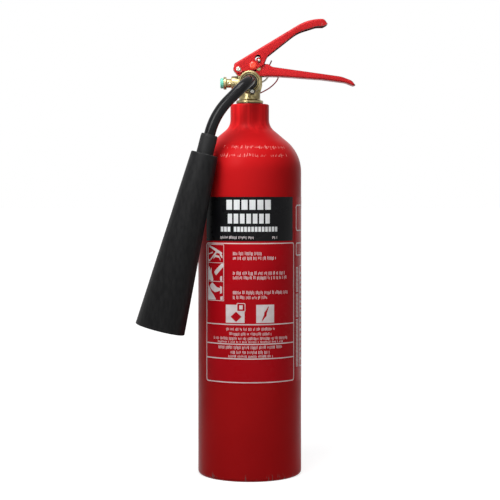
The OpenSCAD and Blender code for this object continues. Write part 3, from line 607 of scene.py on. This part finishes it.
def filmFrame(parts, left, right, low, high, radius, width, radii=inkRadii):
    # A rounded frame line.
    corners = ((right, low), (right, high), (left, high), (left, low))
    loop = rounded([(*corner, radius) for corner in corners], 0.03)
    path = []
    for i, p in enumerate(loop):
        q = loop[(i + 1) % len(loop)]
        pieces = max(1, ceil(abs(q[0] - p[0]) / 1.2))
        path += [(p[0] + (q[0] - p[0]) * k / pieces, p[1] + (q[1] - p[1]) * k / pieces)
                 for k in range(pieces)]
    (verts, faces), (r0, r1) = parts, radii
    base, n = len(verts), len(path)
    for i, p in enumerate(path):
        t = (Vector(path[(i + 1) % n]) - Vector(path[i - 1])).normalized()
        side = Vector((t.y, -t.x)) * width / 2
        for sign, r in ((-1, r0), (-1, r1), (1, r1), (1, r0)):
            verts.append(onFilm(p[0] + sign * side.x, p[1] + sign * side.y, r))
    for i in range(n):
        faces += band(base + 4 * i, base + 4 * ((i + 1) % n), 4)


def tickRow(marks, left, right, low, high, words, seed, wide, pitch=1.3):
    # A row of plain ticks in groups, where small print would be.
    pick = random.Random(seed)
    s, run = left, 0
    while s < right - wide / 2:
        if run <= 0:
            run = pick.choice(words)
            s += pitch * 0.9 if s > left else 0
        tall = (high - low) * pick.choice((1, 1, 1, 0.72))
        z = low + (high - low) / 2 + pick.choice((0, 0, 0.12, -0.12)) * (high - low)
        out = (sin(s / filmR), -cos(s / filmR), 0)
        marks.append((onFilm(s, z, inkTop - 0.03), out, wide * pick.uniform(0.8, 1.35), tall))
        s += pitch
        run -= 1


def alongWall(u):
    # The arc length on the label at an angle of u degrees.
    return radians(u) * filmR


def printed(name, parts, finish, replaced=()):
    put(makeObject(name, *parts), "extinguisher", finish, replaced)


label = {"low": 103, "high": 300, "halfAngle": 56.5, "panelLow": 253.4, "panel": (-55.1, 54.6), "gap": 0.3,
         "frame": (-53.2, 55.3, 104.9, 251.0), "lineWidth": 1.05, "corner": 2.6,
         "rules": (165.8, 145.2, 129.8), "ruleHalf": 0.55}
black = ([], [])
filmBar(black, *[alongWall(u) for u in label["panel"]], label["panelLow"], label["high"], radii=filmRadii)
printed("front_label_panel", black, blackInk)
red = ([], [])
filmBar(red, alongWall(-label["halfAngle"]), alongWall(label["halfAngle"]), label["low"],
        label["panelLow"] - label["gap"], radii=filmRadii)
printed("front_label_film", red, redFilm, replaced=["front_label"])

ink = ([], [])
left, right, low, high = label["frame"]
filmFrame(ink, left, right, low, high, label["corner"], label["lineWidth"])
for z in label["rules"]:
    filmBar(ink, left, right, z - label["ruleHalf"], z + label["ruleHalf"])

# Headings are plain blocks: two rows by count, then a lower row by pitch
headings = {"rows": ((6, -26.3, 23.7, 286.2, 297.2), (7, -24.7, 22.5, 271.7, 282.6)), "side": 0.95,
            "foot": 0.3, "lowRow": ((-32.6, -20.4), (-17.4, 30.9)), "lowPitch": 3.7, "lowSide": 0.45,
            "lowZ": (263.4, 268.6)}
heading = ([], [])
for count, s0, s1, z0, z1 in headings["rows"]:
    pitch = (s1 - s0) / count
    for i in range(count):
        filmBar(heading, s0 + i * pitch + headings["side"], s0 + (i + 1) * pitch - headings["side"],
                z0 + headings["foot"], z1 - headings["foot"])
for s0, s1 in headings["lowRow"]:
    pitch = (s1 - s0) / round((s1 - s0) / headings["lowPitch"])
    while s0 < s1 - 1:
        filmBar(heading, s0 + headings["lowSide"], s0 + pitch - headings["lowSide"], *headings["lowZ"])
        s0 += pitch
printed("front_label_heading", heading, headingInk)

# Three picture squares with plain shapes, each given by stations (s, low, high)
pictures = {"left": -50.4, "right": -28.6, "heights": ((230.3, 249.6), (210.6, 230.3), (190.4, 210.6)),
            "corner": 0.4, "line": 0.6, "shapes": (
    [(-48.6, 246.9, 248.9), (-40.5, 243.2, 246.2), (-37.5, 240.8, 244.8), (-30.5, 239.6, 241.2)],
    [(-49.4, 238.8, 240.0), (-43.0, 240.6, 242.0)], [(-47.0, 232.4, 234.0), (-37.8, 240.4, 243.2)],
    [(-42.2, 234.4, 235.6), (-39.6, 236.4, 239.0), (-34.4, 235.6, 237.6), (-32.6, 232.6, 234.2)],
    [(-49.8, 231.6, 234.2), (-47.4, 231.6, 233.2)], [(-33.4, 238.4, 241.6), (-30.2, 235.0, 238.0)],
    [(-50.0, 211.6, 224.2), (-48.6, 212.2, 226.8), (-47.4, 211.8, 221.6), (-45.6, 211.0, 220.8),
     (-43.8, 211.0, 217.0), (-42.6, 211.2, 213.6)],
    [(-47.0, 221.4, 222.4), (-45.4, 219.6, 225.2), (-45.0, 219.4, 222.6)],
    [(-40.8, 219.4, 221.0), (-38.4, 217.0, 223.4), (-31.4, 223.8, 229.6), (-29.0, 226.4, 229.8)],
    [(-33.0, 211.4, 216.0), (-30.4, 211.4, 216.6)],
    [(-50.0, 191.2, 206.2), (-48.0, 191.2, 204.0), (-45.4, 191.2, 199.4), (-42.0, 191.2, 196.4),
     (-39.0, 191.2, 192.4)],
    [(-47.6, 204.6, 206.4), (-44.2, 201.2, 209.4), (-40.4, 199.2, 207.0), (-38.0, 199.4, 204.8),
     (-33.2, 201.0, 203.6)],
    [(-33.2, 197.6, 206.0), (-30.6, 198.6, 205.0)], [(-32.8, 191.2, 194.6), (-29.8, 191.2, 195.4)])}
for z0, z1 in pictures["heights"]:
    filmFrame(ink, pictures["left"], pictures["right"], z0, z1, pictures["corner"], pictures["line"])
for stations in pictures["shapes"]:
    filmPatch(ink, stations)
printed("front_label_lines", ink, whiteInk)

# Two pale squares: a diamond with a framed corner, and a jagged stroke
squares = {"sides": ((-26.0, -5.4), (6.8, 26.6)), "heights": (167.6, 186.6), "diamond": (-20.5, -14.5, -8.5),
           "diamondZ": 174, "diamondHalf": 5.4, "slope": 0.9, "corner": (-13.4, -5.0, 180.0, 188.0),
           "frame": (-13.5, -4.9, 179.9, 188.1), "block": (-11.0, -7.4, 181.9, 186.1)}
pale = ([], [])
for sides in squares["sides"]:
    filmBar(pale, *sides, *squares["heights"])
printed("front_label_squares", pale, whiteInk)
onPale = (inkTop - 0.01, inkTop + 0.04)
symbols = ([], [])
west, middle, east = squares["diamond"]
z0, half, slope = squares["diamondZ"], squares["diamondHalf"], squares["slope"]
filmShape(symbols, west, middle, lambda s: z0 - (s - west) * slope, lambda s: z0 + (s - west) * slope,
          radii=onPale)
filmShape(symbols, middle, east, lambda s: z0 - half + (s - middle) * slope,
          lambda s: z0 + half - (s - middle) * slope, radii=onPale)
filmBar(symbols, *squares["corner"], radii=onPale)
filmPatch(symbols, [(13.2, 169.2, 171.2), (15.3, 172.0, 176.0), (15.4, 172.2, 178.6), (17.9, 174.8, 181.6),
                    (18.0, 177.4, 181.8), (20.2, 183.2, 185.2)], radii=onPale)
printed("front_label_symbols", symbols, redFilm)

corner = ([], [])
onRed = (inkTop + 0.03, inkTop + 0.08)
filmFrame(corner, *squares["frame"], 1.0, 0.7, radii=onRed)
filmBar(corner, *squares["block"], radii=onRed)
printed("front_label_corner", corner, whiteInk)

# Rows of ticks: from, to, low, high and the lengths of the groups
smallPrint = {"wide": 0.5, "depth": 0.06, "firstSeed": 20, "rows": (
    (-17.9, 13.4, 238.7, 242.1, (4, 7)), (-17.9, 29.6, 233.8, 237.2, (4, 3, 6, 3)),
    (-17.9, 40.6, 217.9, 221.4, (3, 2, 4, 2, 4)), (-17.9, 43.6, 213.3, 216.6, (1, 7, 8, 2)),
    (-17.9, 44.4, 197.6, 201.0, (7, 6, 2, 7)), (-17.9, 19.4, 192.6, 195.9, (7, 2, 4)),
    (-25.6, 27.6, 159.4, 162.4, (2, 3, 4, 9)), (-22.2, 23.6, 154.4, 157.3, (2, 4, 6, 9)),
    (-41.6, 44.6, 149.6, 152.6, (2, 3, 3, 7, 9)), (-36.0, 37.8, 146.4, 148.4, (7, 4, 2, 1, 9)),
    (-35.0, 36.6, 140.2, 143.3, (9, 6, 6, 7)), (-20.4, 21.6, 135.0, 138.2, (4, 8, 3, 3)),
    (-23.2, 24.9, 131.0, 133.6, (7, 8, 2, 3)), (-32.6, 5.0, 255.9, 258.6, (3, 6, 7)),
    (24.4, 30.6, 255.9, 258.6, (3,)))}
marks = []
for i, (s0, s1, z0, z1, words) in enumerate(smallPrint["rows"]):
    tickRow(marks, s0 + 0.4, s1, z0, z1, words, smallPrint["firstSeed"] + i, smallPrint["wide"])
growMarks("front_label_print", marks, whiteInk, "label_print", smallPrint["depth"])

sideLabel = {"edges": (60.5, 112.5), "barFrom": 61.8, "barTop": 224.0, "barFoot": 117, "barHigh": 0.75,
             "barLong": 5.6, "barShort": 4.2, "rows": 19, "rowTop": 216.5, "rowPitch": 5.1, "rowHigh": 2.5,
             "rowEdges": (74.2, 108.5), "words": (5, 3, 7, 2, 6), "wide": 0.62, "firstSeed": 60}
film = ([], [])
filmBar(film, *[alongWall(u) for u in sideLabel["edges"]], label["low"], label["high"], radii=filmRadii)
printed("side_label_film", film, redFilm, ["side_label"])
ink = ([], [])
z, s0 = sideLabel["barTop"], alongWall(sideLabel["barFrom"])
while z > sideLabel["barFoot"]:  # a column of short bars near the edge
    long = int(z * 7) % 5
    filmBar(ink, s0, s0 + sideLabel["barLong" if long else "barShort"], z, z + sideLabel["barHigh"])
    z -= 1.42 if int(z / 9.3) % 3 or int(z) % 9 else 3.1
for s0, s1, z0, z1, radius, width in (
        (alongWall(62.2), alongWall(62.2) + 16, 237.5, 250.5, 2.2, 1.3),
        (alongWall(62.2), alongWall(62.2) + 21, 264.0, 291.0, 3.0, 1.3),
        (alongWall(72.0), alongWall(110.5), 118.0, 226.0, 2.4, 1.0)):
    filmFrame(ink, s0, s1, z0, z1, radius, width)
printed("side_label_lines", ink, whiteInk)
marks = []
start, stop = sideLabel["rowEdges"]
for i in range(sideLabel["rows"]):
    z0 = sideLabel["rowTop"] - i * sideLabel["rowPitch"]
    tickRow(marks, alongWall(start), alongWall(stop - (i * 7 % 5) * 3.2), z0, z0 + sideLabel["rowHigh"],
            sideLabel["words"], sideLabel["firstSeed"] + i, sideLabel["wide"])
growMarks("side_label_print", marks, whiteInk, "side_print", smallPrint["depth"])
print("labels made")

# Valve
softened = (("valve_casting", "valve_body", 0.35, brass, "brass"),
            ("burst_holder", "burst_disc_holder", 0.2, brass, "brass"),
            ("gland_ring", "gland_nut", 0.15, brass, "brass"),
            ("collar_ring", "swivel_collar", 0.2, blackSteel, "black_steel"),
            ("screw_head", "retaining_screw", 0.1, steel, "plated_steel"),
            ("screw_washer", "retaining_washer", 0.15, blackSteel, "black_steel"),
            ("pin_with_eye", "safety_pin", 0.3, steel, "plated_steel"))
for name, node, edgeWidth, finish, slotName in softened:
    piece = soften(copyOf(name, node), edgeWidth)
    markEdges(piece)
    owner = next(b for b, members in frame["record"]["behaviour"]["bodies"].items() if node in members)
    put(piece, owner, finish, [node])

cap = {"rim": 28.5, "inside": 2.8, "boreR": 3.37, "radius": 5.6, "thick": 3.5, "dome": 0.5}
rim, face = cap["rim"], cap["rim"] + cap["thick"]  # the cap's two faces, from the valve's axis
deep = rim - cap["inside"]
profile = rounded([(0, deep, 0), (cap["boreR"], deep, 0.4), (cap["boreR"], rim, 0),
                   (cap["radius"], rim, 0.25), (cap["radius"], face, 0.9), (3.4, face, 0.3),
                   (3.1, face - cap["dome"], 0.3), (0, face - cap["dome"], 0)])
greenCap = turnedPiece("burst_cap_moulding", profile, "left")
put(greenCap, "extinguisher", capGreen, ["burst_cap"])
print("valve made")

# Levers
layers = {"cheekIn": 7, "cheekOut": 8.6, "leverOut": 10.8}
pivot, push, safety, fixing = (-12.1, 14.6), (3.6, 18.7), (10.1, 24.2), (9.7, 15.2)


def pressing(name, web, edge, halfWidth, sheet, bendAt, fine=0.3):
    # A sheet folded down both sides of its web. Points of the free edge pair with the nearest on the web.
    web, edge = [Vector(p) for p in web], [Vector(p) for p in edge]
    far = [0]
    for a, b in zip(web, web[1:]):
        far.append(far[-1] + (b - a).length)

    def pointAt(chain, marks, t):
        i = min(max(bisect.bisect_right(marks, t) - 1, 0), len(marks) - 2)
        share = (t - marks[i]) / max(marks[i + 1] - marks[i], 1e-9)
        return chain[i].lerp(chain[i + 1], min(max(share, 0), 1))

    count, least = 600, 1e-4
    tries = [(far[-1] * k / count, pointAt(web, far, far[-1] * k / count)) for k in range(count + 1)]
    paired = []
    for q in edge:
        nearest = min(tries, key=lambda step: (q - step[1]).length)[0]
        paired.append(max(nearest, paired[-1] + least) if paired else 0)
    paired = [min(t, far[-1] - least * (len(paired) - 1 - i)) for i, t in enumerate(paired)]
    stations = sorted(set(far + paired))
    stations = [t for i, t in enumerate(stations) if i == 0 or t - stations[i - 1] > least / 2]
    loops = []
    for t in stations:
        p, q = pointAt(web, far, t), pointAt(edge, paired, t)
        deep = (q - p).length
        bend = min(bendAt(p.x), deep * 0.45)
        inner = max(bend - sheet, 0.15)
        quarter = [radians(a) for a in (0, 22.5, 45, 67.5, 90)]
        half = [(0, 0), (halfWidth - bend - 0.5, 0)]
        half += [(halfWidth - bend + bend * sin(a), bend - bend * cos(a)) for a in quarter]
        inside = halfWidth - sheet
        half += [(halfWidth, min(bend + 0.4, deep - fine * 1.5)), (halfWidth, deep - fine),
                 (halfWidth - fine * 0.3, deep - fine * 0.3), (halfWidth - fine, deep),
                 (inside + fine, deep), (inside + fine * 0.3, deep - fine * 0.3), (inside, deep - fine)]
        half += [(inside - inner + inner * cos(a), sheet + inner - inner * sin(a)) for a in quarter]
        half.append((0, sheet))
        way = (q - p) / deep
        loop = half + [(-y, d) for y, d in half[-2:0:-1]]
        loops.append([(p.x + way.x * d, y, p.y + way.y * d) for y, d in loop])
    n = len(loops[0])
    faces = [face for i in range(len(loops) - 1) for face in band(i * n, (i + 1) * n, n)]
    faces += [tuple(range(n)), tuple(range((len(loops) - 1) * n, len(loops) * n))]
    return makeObject(name, [v for loop in loops for v in loop], faces, atOutlet)


lever = {"sheet": 1.6, "bend": 2.0, "reach": 84.6, "window": 3.3, "travel": 2.82}
reach = lever["reach"]
leverBack = rounded([(-17.1, 18.9), (-16.6, 20.9, 1.6), (63.9, 69.5, 50), (reach - 4, 69.2, 4),
                     (reach - 0.2, 63.9)])
leverFront = rounded([(-17.3, 14.9), (-17.3, 14.5, 0.3), (-15.2, 10.6, 3), (-9.2, 10.6, 1.5), (-7.5, 12.6, 3),
                      (6, 13.7, 6), (15.3, 19.7, 1.5), (19, 28.9, 5), (51.7, 54.7, 40),
                      (reach - 12.5, 61.1, 15), (reach - 5, 61.2, 2), (reach - 3.6, 61.9)])
arm = Vector(safety) - Vector(pivot)
along = Vector((-arm.y, arm.x)).normalized()  # the way the window runs


def slotOutline(r):
    start = degrees(atan2(along.y, along.x))
    far = Vector(safety) + along * lever["travel"]
    return (arc(far.x, far.y, r, start - 90, start + 90, 12)
            + arc(safety[0], safety[1], r, start + 90, start + 270, 12))


top = pressing("squeeze_lever_pressing", leverBack, leverFront, layers["leverOut"], lever["sheet"],
               lambda x: lever["bend"])
cut(top, prism("window", slotOutline(lever["window"]), -20, 20))
markEdges(top)
markShadedInside(top, -1)
put(top, "lever", leverRed, ["squeeze_lever"], angle=45)

# Raised rim pressed round each window
windowRim = {"clear": 0.35, "r": 0.38, "front": 0.1 - layers["leverOut"], "back": layers["leverOut"] - 0.12}
rimPath = slotOutline(lever["window"] + windowRim["clear"])
for side in ("front", "back"):
    path = [(x, windowRim[side], z) for x, z in rimPath]
    ring = makeObject("window_rim_" + side, *swept(path, circle(windowRim["r"], 12), closed=True), atOutlet)
    put(ring, "lever", leverRed)

handle = {"sheet": 1.6, "bend": 1.8, "leastBend": 0.35, "reach": 114.8, "webStart": 15.2, "notchR": 8.53,
          "holeR": 1.65}
reach = handle["reach"]
handleBelly = rounded([(-13.4, 8.6), (-12.8, 7.7, 1), (33, 6.9, 60), (reach - 37, 3.7, 90),
                       (reach - 11, 0.3, 20), (reach - 2.4, -3.1, 0.8), (reach - 0.3, -2.6)])
handleTop = rounded([(-17.4, 13.7), (-18.1, 14.7, 0.8), (-16.9, 18.8, 2.5), (-8, 18, 5),
                     (push[0] - 3.4, 18, 1), (push[0] - 3.4, 12.9, 0.8), (push[0] + 3.5, 12.9, 0.8),
                     (6.9, safety[1] + 3.3, 2.6), (13.5, safety[1] + 3.3, 3), (14.4, 20.4, 2),
                     (19.8, 20.4, 3), (24.5, 17.3, 5), (reach - 15.5, 6.8, 30), (reach - 4.6, 2.6, 7),
                     (reach - 3.3, 1.2)])


def handleBend(x):
    share = min(max((x - handle["webStart"]) / 3, 0), 1)
    return handle["leastBend"] + (handle["bend"] - handle["leastBend"]) * share


bottom = pressing("carry_handle_pressing", handleBelly, handleTop, layers["cheekOut"], handle["sheet"],
                  handleBend)
past = layers["cheekOut"] + 1
rear = prism("rear", [(-30, -20), (handle["webStart"], -20), (handle["webStart"], 40), (-30, 40)],
             -layers["cheekIn"], layers["cheekIn"])
notch = prism("notch", circle(handle["notchR"], 64), -past, past)
hole = prism("hole", circle(handle["holeR"], 40, safety), -past, past)
cut(bottom, rear, notch, hole)
markEdges(bottom)
markShadedInside(bottom, 1)
put(bottom, "extinguisher", leverRed, ["carry_handle"], angle=45)


def riveted(name, place, size, body, finish, node):
    # A rivet or headed pin through both cheeks.
    r, headR, headT, inner, dimple = [size[key] for key in ("r", "headR", "headT", "reach", "dimple")]
    top = inner + headT
    half = rounded([(0, 0, 0), (r, 0, 0), (r, inner, 0.05), (headR, inner, 0.12),
                    (headR, inner + headT * 0.45, headT * 0.5), (headR * 0.55, top, headT * 0.9),
                    (headR * 0.3, top - dimple, 0.1), (0, top - dimple, 0)])
    outline = [(a, -h) for a, h in reversed(half[1:])] + half[1:]
    piece = turnedPiece(name, outline, "front", (place[0], 0, place[1]), 64)
    put(piece, body, finish, [node])


pivotPin = {"r": 1.87, "headR": 2.6, "headT": 0.7, "reach": 10.9, "dimple": 0.15}
pushRivet = {"r": 2.47, "headR": 4.0, "headT": 1.3, "reach": 10.83, "dimple": 0.2}
handleRivet = {"r": 1.47, "headR": 2.3, "headT": 0.3, "reach": 8.63, "dimple": 0.0}
riveted("lever_pivot_pin", pivot, pivotPin, "extinguisher", steel, "pivot_pin")
riveted("lever_push_rivet", push, pushRivet, "lever", rivetRed, "push_rivet")
riveted("handle_fixing_rivet", fixing, handleRivet, "extinguisher", brass, "handle_rivet")
print("levers made")

# Pull ring, closing spring and tamper seal
pull = {"radius": 11, "halfWidth": 0.9, "halfThick": 0.49, "pitch": 0.5, "turns": 2.0, "eyeY": 16.1,
        "steps": 72, "sides": 16}
flatten = pull["halfThick"] / pull["halfWidth"]  # a round wire pressed flat
rise = pull["pitch"] * pull["turns"]
ring = grow("pull_ring_split", coilTree, {
    "Turns": pull["turns"], "Radius": pull["radius"] * mm, "Height": rise / flatten * mm,
    "Wire": pull["halfWidth"] * mm, "Steps": pull["steps"], "Sides": pull["sides"], "Material": steel})
ring.data.transform(Matrix.Translation((0, 0, -rise / 2 * mm)) @ Matrix.Diagonal((1, 1, flatten, 1)))
hung = Vector((safety[0], pull["eyeY"], outletZ + safety[1] - pull["radius"])) * mm
ring.data.transform(Matrix.Translation(hung) @ facing["front"])
put(ring, "ring", steel, ["pull_ring"])

spring = {"foot": 392.314, "length": 17.5, "radius": 4, "wire": 0.5, "turns": 6.0, "travel": 2.9,
          "steps": 40, "sides": 14}
coilPiece = grow("closing_spring_wire", coilTree, {
    "Turns": spring["turns"], "Radius": spring["radius"] * mm, "Wire": spring["wire"] * mm,
    "Height": (spring["length"] - 2 * spring["wire"]) * mm, "Steps": spring["steps"],
    "Sides": spring["sides"], "Material": springSteel})
coilPiece.data.transform(Matrix.Translation((push[0] * mm, 0, (spring["foot"] + spring["wire"]) * mm)))
put(coilPiece, "extinguisher", springSteel, ["closing_spring"])
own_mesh(coilPiece)


def through(points, steps):
    # A smooth line through points.
    pts = [Vector(p) for p in points]
    out = []
    for i in range(len(pts) - 1):
        a, b, c, d = pts[max(i - 1, 0)], pts[i], pts[i + 1], pts[min(i + 2, len(pts) - 1)]
        for k in range(steps):
            t = k / steps
            out.append(0.5 * (2 * b + (c - a) * t + (2 * a - 5 * b + 4 * c - d) * t * t
                              + (3 * b - a - 3 * c + d) * t ** 3))
    return out + [pts[-1]]


def roundedBox(x, z, radius, sag=0.01):
    return rounded([(-x, -z, radius), (x, -z, radius), (x, z, radius), (-x, z, radius)], sag)


strap = {"thick": 0.5, "wide": 0.62, "corner": 0.25, "loopY": 11.75, "loopR": 2.35, "lock": (2, 1.5, 0.5),
         "lockHalf": 0.95, "lockAt": (18.6, 12.3, 17.9), "lockTilt": 30, "lockEdge": 0.25}
section = roundedBox(strap["wide"], strap["thick"], strap["corner"], 0.04)
route = [(safety[0] + 2.3, strap["loopY"], safety[1] - 1.2), (17, 12.2, 19), (26, 12.4, 14.6),
         (30.9, 12.2, 9.5), (30.6, 12, 5.6), (27.6, 11.6, 1.2), (21.6, 11, -4.2), (14, 10, -8.6),
         (9.6, 9.4, -10.6)]
tail = [(18.6, 12.3, 17.6), (20.6, 12.3, 19.6), (22.2, 12.3, 22), (24, 12.2, 26)]
loop = [(x, strap["loopY"], z) for x, z in circle(strap["loopR"], 40, safety)]
for name, path, closed in (("tamper_strap", through(route, 8), False),
                           ("tamper_tail", through(tail, 6), False), ("tamper_loop", loop, True)):
    piece = makeObject(name, *swept(path, section, closed), atOutlet)
    put(piece, "pin", strapRed, ["tamper_seal"])
tilted = Matrix.Rotation(radians(strap["lockTilt"]), 4, "Y")
lock = prism("tamper_lock", roundedBox(*strap["lock"]), -strap["lockHalf"], strap["lockHalf"],
             atOutlet @ Matrix.Translation(strap["lockAt"]) @ tilted)
soften(lock, strap["lockEdge"], 3)
put(lock, "pin", strapRed)
print("safety pin, ring and seal made")

# Pipe, sleeve and horn
pipe = {"outer": 6, "inner": 4.5, "socket": 16.2, "elbowR": 19, "slope": 45.4, "straight": 11.6,
        "bendR": 75, "hornSlope": 14.3, "lead": 1.6, "inSleeve": 26, "plane": 52.987, "elbowSteps": 30,
        "bendSteps": 24}
slope, hornSlope = radians(pipe["slope"]), radians(pipe["hornSlope"])
down = Vector((-sin(slope), 0, -cos(slope)))
ahead = Vector((0, -1, 0))
elbowY = pipe["plane"] - pipe["elbowR"]
centre = ahead * elbowY + down * pipe["elbowR"]
path = [ahead * pipe["socket"], ahead * (elbowY * 0.75), ahead * elbowY]
for k in range(pipe["elbowSteps"]):
    t = rightAngle * (k + 1) / pipe["elbowSteps"]
    path.append(centre - down * pipe["elbowR"] * cos(t) + ahead * pipe["elbowR"] * sin(t))
start = path[-1] + down * pipe["straight"]
path.append(path[-1] + down * pipe["straight"] / 2)
for k in range(pipe["bendSteps"] + 1):
    s = slope + (hornSlope - slope) * k / pipe["bendSteps"]
    way = Vector((cos(s) - cos(slope), 0, sin(slope) - sin(s)))
    path.append(start - pipe["bendR"] * way)
hornWay = Vector((-sin(hornSlope), 0, -cos(hornSlope)))
sleeveTop = path[-1] + hornWay * pipe["lead"]
path.append(sleeveTop)
path.append(sleeveTop + hornWay * pipe["inSleeve"])
bentPipe = makeObject("horn_pipe_bent", *hollowTube(path, pipe["outer"], pipe["inner"]), atOutlet)
put(bentPipe, "horn", pipeBlack, ["horn_pipe"])

atHorn = atOutlet @ Matrix.Translation(sleeveTop) @ Matrix.Rotation(hornSlope, 4, "Y")
sleeve = {"radius": 9, "show": 20.8, "inside": 14, "bore": 6.03, "lip": 0.25, "waist": 0.35}
end = sleeve["show"] + sleeve["inside"]
profile = rounded([(sleeve["bore"], -end, 0), (sleeve["radius"], -end, 0), (sleeve["radius"], -2.2, 0.4),
                   (sleeve["radius"] - sleeve["lip"], -1.9, 0.3),
                   (sleeve["radius"] - sleeve["waist"], 0, 0.9), (sleeve["bore"], 0, 0.4)])
rubber = turnedPiece("coupling_sleeve_rubber", profile, segments=72, place=atHorn)
put(rubber, "horn", sleeveBlack, ["coupling_sleeve"])

horn = {"topR": 14.35, "mouthR": 26.55, "length": 190.6, "wall": 2.4, "floor": 36.3, "floorThick": 1.2,
        "boreR": 8.5, "clear": 0.03, "topEdge": 1.3, "lip": 1.2, "lipIn": 1.15, "segments": 144, "steps": 40,
        "innerSteps": 20, "rubbed": (0.9, 1.3)}


def hornR(s):
    return horn["topR"] + (horn["mouthR"] - horn["topR"]) * (s - sleeve["show"]) / horn["length"]


hornEnd = sleeve["show"] + horn["length"]
lip, lipIn = horn["lip"], horn["lipIn"]
outerWall, innerWall = [], []
for i in range(horn["steps"] + 1):
    s = sleeve["show"] + 2 + (horn["length"] - 4) * i / horn["steps"]
    outerWall.append((hornR(s), -s))
for i in range(horn["innerSteps"] + 1):
    s = hornEnd - lip - (hornEnd - lip - horn["floor"]) * i / horn["innerSteps"]
    innerWall.append((hornR(s) - horn["wall"], -s))
holeR = sleeve["radius"] + horn["clear"]
floorTop = horn["floorThick"] - horn["floor"]
profile = (rounded([(holeR, -sleeve["show"], 0), (horn["topR"], -sleeve["show"], horn["topEdge"]),
                    (*outerWall[0], 0)])[:-1] + outerWall
           + arc(horn["mouthR"] - lip, lip - hornEnd, lip, 0, -90, 15)
           + arc(horn["mouthR"] - lipIn - 0.1, lipIn - hornEnd, lipIn, -90, -180, 15) + innerWall
           + [(horn["boreR"], -horn["floor"]), (horn["boreR"], floorTop), (holeR, floorTop)])
flare = turnedPiece("discharge_horn_moulding", profile, segments=horn["segments"], place=atHorn)
inverse = (Matrix.Scale(mm, 4) @ atHorn).inverted()
rubbedFrom, rubbedTo = sleeve["show"] + horn["rubbed"][0], hornEnd - horn["rubbed"][1]
depths = [-(inverse @ v.co).z for v in flare.data.vertices]
markPoints(flare, "worn", [0.0 if rubbedFrom <= s <= rubbedTo else 1.0 for s in depths])
put(flare, "horn", hornBlack, ["discharge_horn"])
print("horn made")

# Nodes that keep their own mesh
for node, finish in (("neck_seal", sealBlack), ("dip_tube", aluminium), ("inlet_plug", brass),
                     ("valve_stem", steel), ("seat_washer", sealBlack), ("stem_seal", sealBlack),
                     ("burst_disc", steel), ("swivel_seal", sealBlack), ("horn_jet", brass)):
    mesh = frame["nodes"][node].data
    mesh.materials.clear()
    mesh.materials.append(finish)

# Floor, light and camera
def seenDirectly(tree):
    # 1 for what the camera sees itself, in a gloss or through a clear thing
    seen = addNode(tree, "ShaderNodeLightPath").outputs
    return combine(tree, "MAXIMUM", seen["Is Camera Ray"],
                combine(tree, "MAXIMUM", seen["Is Glossy Ray"], seen["Is Transmission Ray"]))


stage = {"floorColour": (0.5, 0.5, 0.5), "floorRough": 0.9, "half": 30, "liftNear": 0.80, "liftFar": 0.94,
         "liftFrom": 0.25, "liftTo": 1.6, "world": 0.14}
half = stage["half"]
floorMesh = bpy.data.meshes.new("floor")
floorMesh.from_pydata([(-half, -half, 0), (half, -half, 0), (half, half, 0), (-half, half, 0)], [],
                      [(0, 1, 2, 3)])
floor = addObject("floor", floorMesh)
floorWhite, tree, shader = newMaterial("floorWhite")
feed(tree, shader.inputs["Base Color"], stage["floorColour"])
feed(tree, shader.inputs["Roughness"], stage["floorRough"])
spot = addNode(tree, "ShaderNodeTexCoord").outputs["Object"]
away = addNode(tree, "ShaderNodeVectorMath", {"operation": "LENGTH"}, in0=spot).outputs["Value"]
lift = spread(tree, away, stage["liftFrom"], stage["liftTo"], stage["liftNear"], stage["liftFar"])
glow = addNode(tree, "ShaderNodeEmission", Strength=combine(tree, "MULTIPLY", seenDirectly(tree), lift))
both = addNode(tree, "ShaderNodeAddShader", in0=shader, in1=glow)
feed(tree, tree.nodes["Material Output"].inputs["Surface"], both)
floorMesh.materials.append(floorWhite)

world = bpy.data.worlds.new("studio")
bpy.context.scene.world = world
world.use_nodes = True
tree = world.node_tree
background = tree.nodes["Background"]
feed(tree, background.inputs["Strength"], spread(tree, seenDirectly(tree), 0.0, 1.0, stage["world"], 1.0))
feed(tree, background.inputs["Color"], (1, 1, 1))


def addLamp(name, place, target, width, height, power):
    lamp = bpy.data.lights.new(name, "AREA")
    lamp.shape, lamp.size, lamp.size_y, lamp.energy = "RECTANGLE", width, height, power
    obj = addObject(name, lamp)
    obj.location = place
    obj.rotation_euler = (Vector(target) - Vector(place)).to_track_quat("-Z", "Y").to_euler()


addLamp("keySoftbox", (-0.13, -0.27, 0.82), (0, 0, 0.37), 0.36, 0.36, 4.3)
addLamp("fillSoftbox", (0.2, -1.5, 0.35), (0, 0, 0.25), 1.4, 1.0, 2.0)
addLamp("neckSoftbox", (-0.13, -0.22, 0.45), (0, 0, 0.37), 0.10, 0.10, 0.32)
addLamp("backSoftbox", (0.4, 0.9, 0.9), (0, 0, 0.3), 0.8, 0.8, 1.5)

view = {"sensor": 36, "lens": 102.9, "shift": -0.11, "place": (0.0003, -1.556, 0.302)}
camera = bpy.data.cameras.new("camera")
camera.sensor_width, camera.lens, camera.shift_y = view["sensor"], view["lens"], view["shift"]
cameraObject = addObject("camera", camera)
cameraObject.location = view["place"]
cameraObject.rotation_euler = (rightAngle, 0, 0)
bpy.context.scene.camera = cameraObject
bpy.context.scene.view_settings.view_transform = "Standard"
